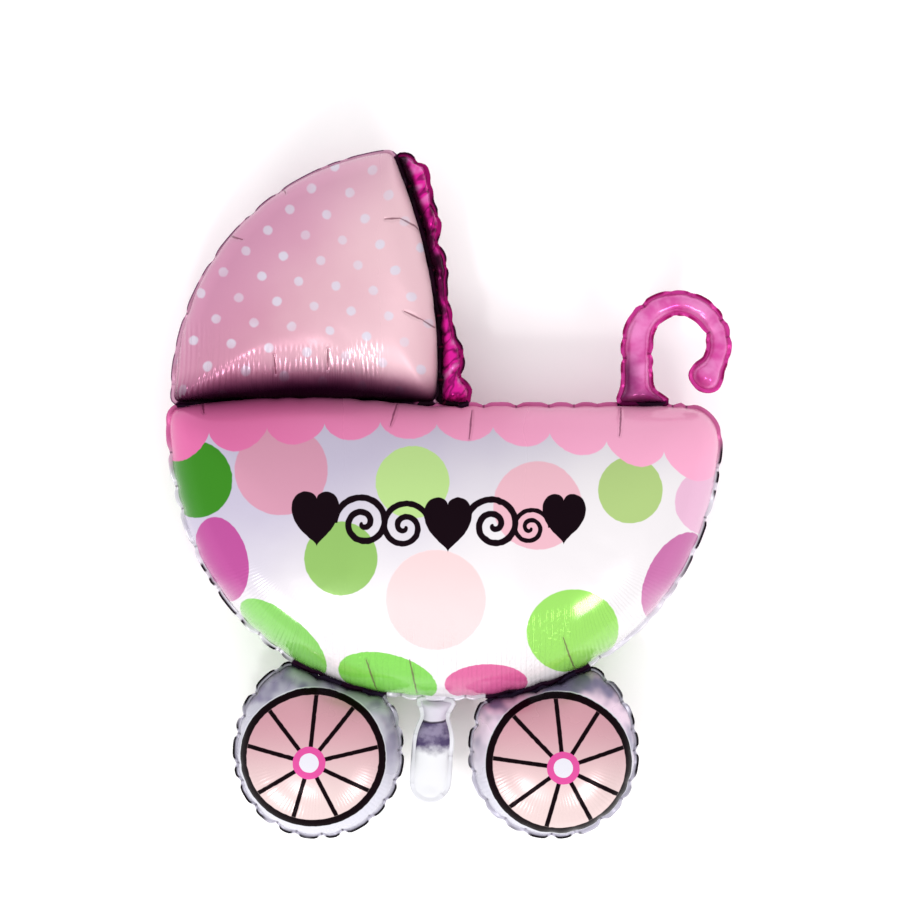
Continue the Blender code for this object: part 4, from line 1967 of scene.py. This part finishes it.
    @staticmethod
    def _frill(at: Surface) -> Socket:
        """Paint the frill: magenta with painted shade and highlights for its crumples, and painted shadow,
        nearly black, in the valley beside the hood and across a stretch of its middle.

        Args:
            at: The film.

        Returns:
            The colour.
        """
        graph, hood, up = at.graph, Hood(), at.up
        cloud = graph.noise(at.place, 60.0, 3.0)
        leaning = graph.join(graph.plus(at.across, graph.times(up, -0.5)), graph.times(up, 0.55))
        crisp = graph.noise(leaning, 58.0, 1.5)
        # Painted shade and highlights of the crumpled foil: dark patches, bright patches near the top and
        # bottom, and dark crease lines.
        colour = graph.mix(graph.ramp(cloud, 0.34, 0.50), Ink.FRILL_CRUMPLE_SHADE, Ink.FRILL)
        highlight_band = graph.most(graph.ramp(up, 0.06, 0.09, 0.9, 0.15), graph.ramp(up, 0.19, 0.21, 0.0, 0.8))
        colour = graph.mix(graph.times(highlight_band, graph.ramp(crisp, 0.48, 0.58)), colour, Ink.FRILL_PAINTED_HIGHLIGHT)
        painted_crease_lines = graph.ramp(graph.size(graph.minus(crisp, 0.42)), 0.004, 0.040, 0.60, 0.0)
        colour = graph.mix(painted_crease_lines, colour, Ink.FRILL_CREASE_SHADE)
        # Painted shadow: nearly black in the valley beside the hood, and over a stretch of the frill's
        # middle.
        share = graph.over(up, hood.peak)
        bow = graph.times(share, graph.minus(1.0, share), 4 * hood.front_bow)
        weld_x = graph.plus(graph.times(share, hood.peak_x - hood.foot_x), hood.foot_x, bow)
        past = graph.plus(graph.minus(at.across, weld_x), graph.times(graph.minus(cloud, 0.5), 0.010))
        widest = graph.ramp(up, 0.06, 0.16, 0.006, 0.011)
        valley = graph.ramp(graph.minus(past, widest), -0.004, 0.003, 1.0, 0.0)
        middle_shadow = graph.times(graph.ramp(up, 0.095, 0.110), graph.ramp(up, 0.140, 0.160, 1.0, 0.0), 0.9)
        return graph.mix(graph.times(graph.most(valley, middle_shadow), 0.95), colour, Ink.FRILL_PAINTED_SHADOW)

    @staticmethod
    def _handle(at: Surface) -> Socket:
        """Paint the handle: magenta, in purple shade at the left of its foot.

        Args:
            at: The film.

        Returns:
            The colour.
        """
        graph, up = at.graph, at.up
        cloud = graph.noise(at.place, 45.0, 3.0)
        colour = graph.mix(graph.ramp(cloud, 0.3, 0.7), Ink.HANDLE, Ink.HANDLE_PALE)
        across = graph.plus(at.across, graph.times(cloud, 0.012))
        left = graph.ramp(across, 0.190, 0.206, 1.0, 0.0)
        shade = graph.times(left, graph.ramp(up, 0.030, 0.060, 1.0, 0.0), 0.85)
        shade = graph.most(shade, graph.ramp(up, 0.004, 0.020, 0.8, 0.0))
        colour = graph.mix(shade, colour, Ink.HANDLE_SHADE)
        return graph.mix(graph.ramp(at.share, 0.85, 1.0, 0.0, 0.5), colour, Ink.HANDLE_RIM)

    @staticmethod
    def _tail(at: Surface) -> Socket:
        """Paint the tail: white at the bowl, mottled grey below a dark line, milky at its end.

        Args:
            at: The film.

        Returns:
            The colour.
        """
        graph = at.graph
        cloud = graph.noise(at.place, 90.0, 3.0)
        ragged = graph.plus(at.up, graph.times(cloud, 0.020))
        mottle = graph.mix(graph.ramp(cloud, 0.35, 0.65), Ink.TAIL_PALE, Ink.TAIL_GREY)
        colour = graph.mix(graph.ramp(ragged, -0.342, -0.328), Ink.TAIL_MILK, mottle)
        aside = graph.plus(at.across, 0.0115)
        past = graph.minus(graph.plus(at.up, 0.3185), graph.times(aside, aside, 16.0))
        colour = graph.mix(graph.ramp(past, -0.0010, 0.0010), colour, Ink.TAIL_MOUTH)
        line = graph.ramp(graph.size(past), 0.0006, 0.0016, 0.85, 0.0)
        return graph.mix(line, colour, Ink.TAIL_LINE)

    @staticmethod
    def _clear_of_tail(at: Surface) -> Socket:
        """Give 0 beside the tail, where the film runs on in one, and 1 away from it."""
        return at.graph.ramp(at.graph.size(at.graph.plus(at.across, -Tail().x)), 0.016, 0.024)

    @staticmethod
    def _crescents(at: Surface, border: Border) -> Socket:
        """Make the painted dark reflections along a border's rim, each as long as a pucker or two.

        Args:
            at: The film.
            border: The border's inks.

        Returns:
            The mask.
        """
        graph, least = at.graph, border.least
        patch = graph.ramp(graph.noise(at.place, 24.0, 1.0), least - 0.05, least + 0.05)
        lobe = graph.ramp(graph.size(at.gap), 0.0025, 0.0050)
        return graph.times(patch, lobe, graph.ramp(at.share, *border.rim.value))

    def edge(self, part: Part) -> Paint:
        """Choose a border's print.

        Args:
            part: The border's chamber.

        Returns:
            What paints it.
        """
        border = BORDERS[part]

        def paint(at: Surface) -> Socket:
            """Paint a border: one ink, painted dark reflections along its rim and painted shade in its
            valleys.

            Args:
                at: The film.

            Returns:
                The colour.
            """
            graph = at.graph
            # Painted dark reflections along the rim, then painted shade in the valleys between chambers.
            colour = graph.mix(self._crescents(at, border), rgb(*border.ink), rgb(*border.dark))
            return graph.mix(graph.ramp(at.share, 1.10, 1.20), colour, rgb(*border.valley))

        def paint_bowl(at: Surface) -> Socket:
            """Paint the bowl's border: pink along the rim, white with painted dark reflections below it, and
            painted shade in its valleys.

            Args:
                at: The film.

            Returns:
                The colour.
            """
            graph, across, up = at.graph, at.across, at.up
            colour = graph.mix(graph.ramp(up, -0.075, -0.03), rgb(*border.ink), Ink.EDGE_PINK)
            # Painted dark reflections along the rim at the lower left and at the right.
            below = graph.ramp(up, -0.15, -0.13, 1.0, 0.0)
            left = graph.times(graph.ramp(across, -0.17, -0.14, 1.0, 0.0), below)
            right = graph.times(graph.ramp(across, 0.22, 0.25), graph.ramp(up, -0.05, -0.03, 1.0, 0.0))
            dark = graph.times(self._crescents(at, border), graph.most(left, right))
            colour = graph.mix(dark, colour, rgb(*border.dark))
            # Painted shade in the valleys beside other chambers, except beside the tail.
            beside = graph.times(graph.ramp(at.share, 1.10, 1.20), self._clear_of_tail(at))
            return graph.mix(beside, colour, rgb(*border.valley))

        return paint_bowl if part is Part.BOWL else paint


@dataclass(frozen=True)
class Foil:
    """Materials of the printed film, with the widths and shares of its creases and of the shade painted into
    them.
    """

    crease_width: float = 0.0016
    crease_share: float = 0.75
    pucker_width: float = 0.0045
    pucker_least: float = 0.15
    pucker_depth: float = 1.2
    fold_width: float = 0.0014
    fold_broad: float = 0.004
    fold_share: float = 0.72
    relief: float = 0.0008
    specular: float = 0.05
    coat: float = 0.9
    coat_fade: float = 0.03
    coat_roughness: float = 0.12
    upright_fade: tuple[float, float] = (-0.075, -0.050)

    def _roughness(self, at: Surface, finish: Finish) -> Socket:
        """Make a film's roughness, with its duller stretch.

        Args:
            at: The film.
            finish: Its looks.

        Returns:
            The roughness.
        """
        graph, rough, dull = at.graph, finish.roughness, finish.dull
        cloudy = graph.ramp(graph.noise(at.place, 22.0, 3.0), 0.2, 0.8, rough * 0.8, rough * 1.25)
        if dull is None:
            return cloudy
        aside = graph.size(graph.minus(at.across, dull.middle))
        return graph.plus(cloudy, graph.ramp(aside, dull.inner, dull.outer, dull.more, 0.0))

    def _height(self, at: Surface, effects: Effects, finish: Finish) -> Socket:
        """Make a film's relief: gathers, crumple, puckers and folds.

        Args:
            at: The film.
            effects: The shared effects.
            finish: Its looks.

        Returns:
            The height.
        """
        graph, gathers, run = at.graph, finish.gathers, at.run
        fine = graph.ramp(at.up, gathers.low, gathers.high, gathers.strength, 0.0)
        if gathers.way is Gathering.UPRIGHT:
            run = at.across
            fine = graph.times(fine, graph.ramp(run, *self.upright_fade, 1.0, 0.0))
        height = graph.use(
            effects.relief, Place=at.place, Weld=at.weld, Run=run, Gathers=fine, Crumple=finish.crumple
        )
        least = self.pucker_least
        broad = graph.use(effects.crease, Crease=at.crease, Width=self.pucker_width, Least=least)
        height = graph.minus(height, graph.times(broad, self.pucker_depth))
        if finish.folds:
            height = graph.minus(height, effects.folds(at, finish.folds, self.fold_broad))
        return height

    def material(self, name: str, paint: Paint, effects: Effects, finish: Finish) -> bpy.types.Material:
        """Make a film's material.

        Args:
            name: Its name.
            paint: Makes its colour.
            effects: The shared effects.
            finish: Its other looks.

        Returns:
            The material.
        """
        material = bpy.data.materials.new(name)
        material.use_nodes = True
        graph = Graph(material.node_tree)
        at = Surface(graph)
        inputs = material.node_tree.nodes["Principled BSDF"].inputs
        # Painted shade: the lines at the bottom of the puckers and along the folds take the crease shade
        # colour.
        ink, least = rgb(*finish.crease_shade_ink), finish.crease_least
        line = graph.use(effects.crease, Crease=at.crease, Width=self.crease_width, Least=least)
        colour = graph.mix(graph.times(line, self.crease_share), paint(at), ink)
        fold = effects.folds(at, finish.folds, self.fold_width)
        graph.feed(inputs["Base Color"], graph.mix(graph.times(fold, self.fold_share), colour, ink))
        inputs["Metallic"].default_value = finish.metallic
        inputs["Specular IOR Level"].default_value = self.specular
        graph.feed(inputs["Roughness"], self._roughness(at, finish))
        below = finish.gloss_below
        graph.feed(inputs["Coat Weight"], graph.ramp(at.up, below - self.coat_fade, below, self.coat, 0.0))
        inputs["Coat Roughness"].default_value = self.coat_roughness
        bump = graph.node("ShaderNodeBump")
        bump.inputs["Strength"].default_value = 1.0
        bump.inputs["Distance"].default_value = self.relief
        graph.feed(bump.inputs["Height"], self._height(at, effects, finish))
        graph.feed(inputs["Normal"], bump.outputs[0])
        return material

    def materials(self) -> dict[str, bpy.types.Material]:
        """Make every film's material.

        Returns:
            The materials by chamber, and by chamber's border.
        """
        effects = Effects()
        prints = Prints(effects)
        rows = {part.label: (paint, FINISHES[part]) for part, paint in prints.paints().items()}
        rows |= {f"{part.label}_border": (prints.edge(part), BORDERS[part].finish) for part in Part}
        return {
            name: self.material(f"film_{name}", paint, effects, finish)
            for name, (paint, finish) in rows.items()
        }


@dataclass(frozen=True)
class Lamp:
    """A soft box that faces the balloon, with its width, height and power in watts."""

    name: str
    place: tuple[float, float, float]
    size: Point
    power: float

    def hang(self) -> None:
        """Hang the lamp, turned to the balloon's middle."""
        light = bpy.data.lights.new(self.name, "AREA")
        light.shape = "RECTANGLE"
        light.size, light.size_y = self.size
        light.energy = self.power
        lamp = bpy.data.objects.new(self.name, light)
        lamp.location = self.place
        toward = Vector((0.0, 0.0, WELD_HEIGHT)) - lamp.location
        lamp.rotation_euler = toward.to_track_quat("-Z", "Y").to_euler()
        bpy.context.scene.collection.objects.link(lamp)


@dataclass(frozen=True)
class Studio:
    """Floor, lights and camera."""

    camera_distance: float = 7.0
    view_width: float = 0.900
    view_centre: Point = (0.005, -0.046)
    floor_reach: float = 4.0
    floor_shade: float = 0.97
    floor_roughness: float = 0.9
    surroundings: float = 1.15
    lamps: tuple[Lamp, ...] = (
        Lamp("key_left", (-1.25, -1.52, 1.05), (0.45, 0.45), 12.0),
        Lamp("key_right", (0.95, -1.25, 1.60), (0.48, 0.48), 12.0),
        Lamp("key_middle", (-0.50, -1.15, 2.00), (0.20, 0.18), 7.0),
    )

    def floor(self) -> None:
        """Lay a plain pale floor."""
        mesh = bpy.data.meshes.new("floor")
        far = self.floor_reach
        corners = [(-far, -far, 0), (far, -far, 0), (far, far, 0), (-far, far, 0)]
        mesh.from_pydata(corners, [], [(0, 1, 2, 3)])
        floor = bpy.data.objects.new("floor", mesh)
        bpy.context.scene.collection.objects.link(floor)
        material = bpy.data.materials.new("floor_paper")
        material.use_nodes = True
        shader = material.node_tree.nodes["Principled BSDF"]
        shader.inputs["Base Color"].default_value = (*[self.floor_shade] * 3, 1.0)
        shader.inputs["Roughness"].default_value = self.floor_roughness
        mesh.materials.append(material)

    def light(self) -> None:
        """Hang the key lamps and set the pale surroundings."""
        for lamp in self.lamps:
            lamp.hang()
        world = bpy.data.worlds.new("surroundings")
        world.use_nodes = True
        ground = world.node_tree.nodes["Background"]
        ground.inputs["Color"].default_value = (1.0, 1.0, 1.0, 1.0)
        ground.inputs["Strength"].default_value = self.surroundings
        bpy.context.scene.world = world

    def camera(self) -> None:
        """Look straight down at the balloon."""
        lens = bpy.data.cameras.new("camera")
        lens.sensor_width = 36.0
        lens.lens = lens.sensor_width * self.camera_distance / self.view_width
        camera = bpy.data.objects.new("camera", lens)
        camera.location = (
            RIM_MIDDLE[0] + self.view_centre[0],
            RIM_MIDDLE[1] + self.view_centre[1],
            WELD_HEIGHT + self.camera_distance,
        )
        bpy.context.scene.collection.objects.link(camera)
        bpy.context.scene.camera = camera

    def set_up(self) -> None:
        """Build the whole studio."""
        self.floor()
        self.light()
        self.camera()
        bpy.context.scene.view_settings.view_transform = "Standard"


def main() -> None:
    """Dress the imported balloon."""
    logging.basicConfig(level=logging.INFO)
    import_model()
    films = [FilmMaker(chamber).make() for chamber in Pram().chambers()]
    fronts = Inflation(films).run()
    skin = FilmBuilder(films, fronts).build(Foil().materials())
    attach(skin, "root")
    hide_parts("foil_balloon")
    Studio().set_up()


if __name__ == "__main__":
    main()
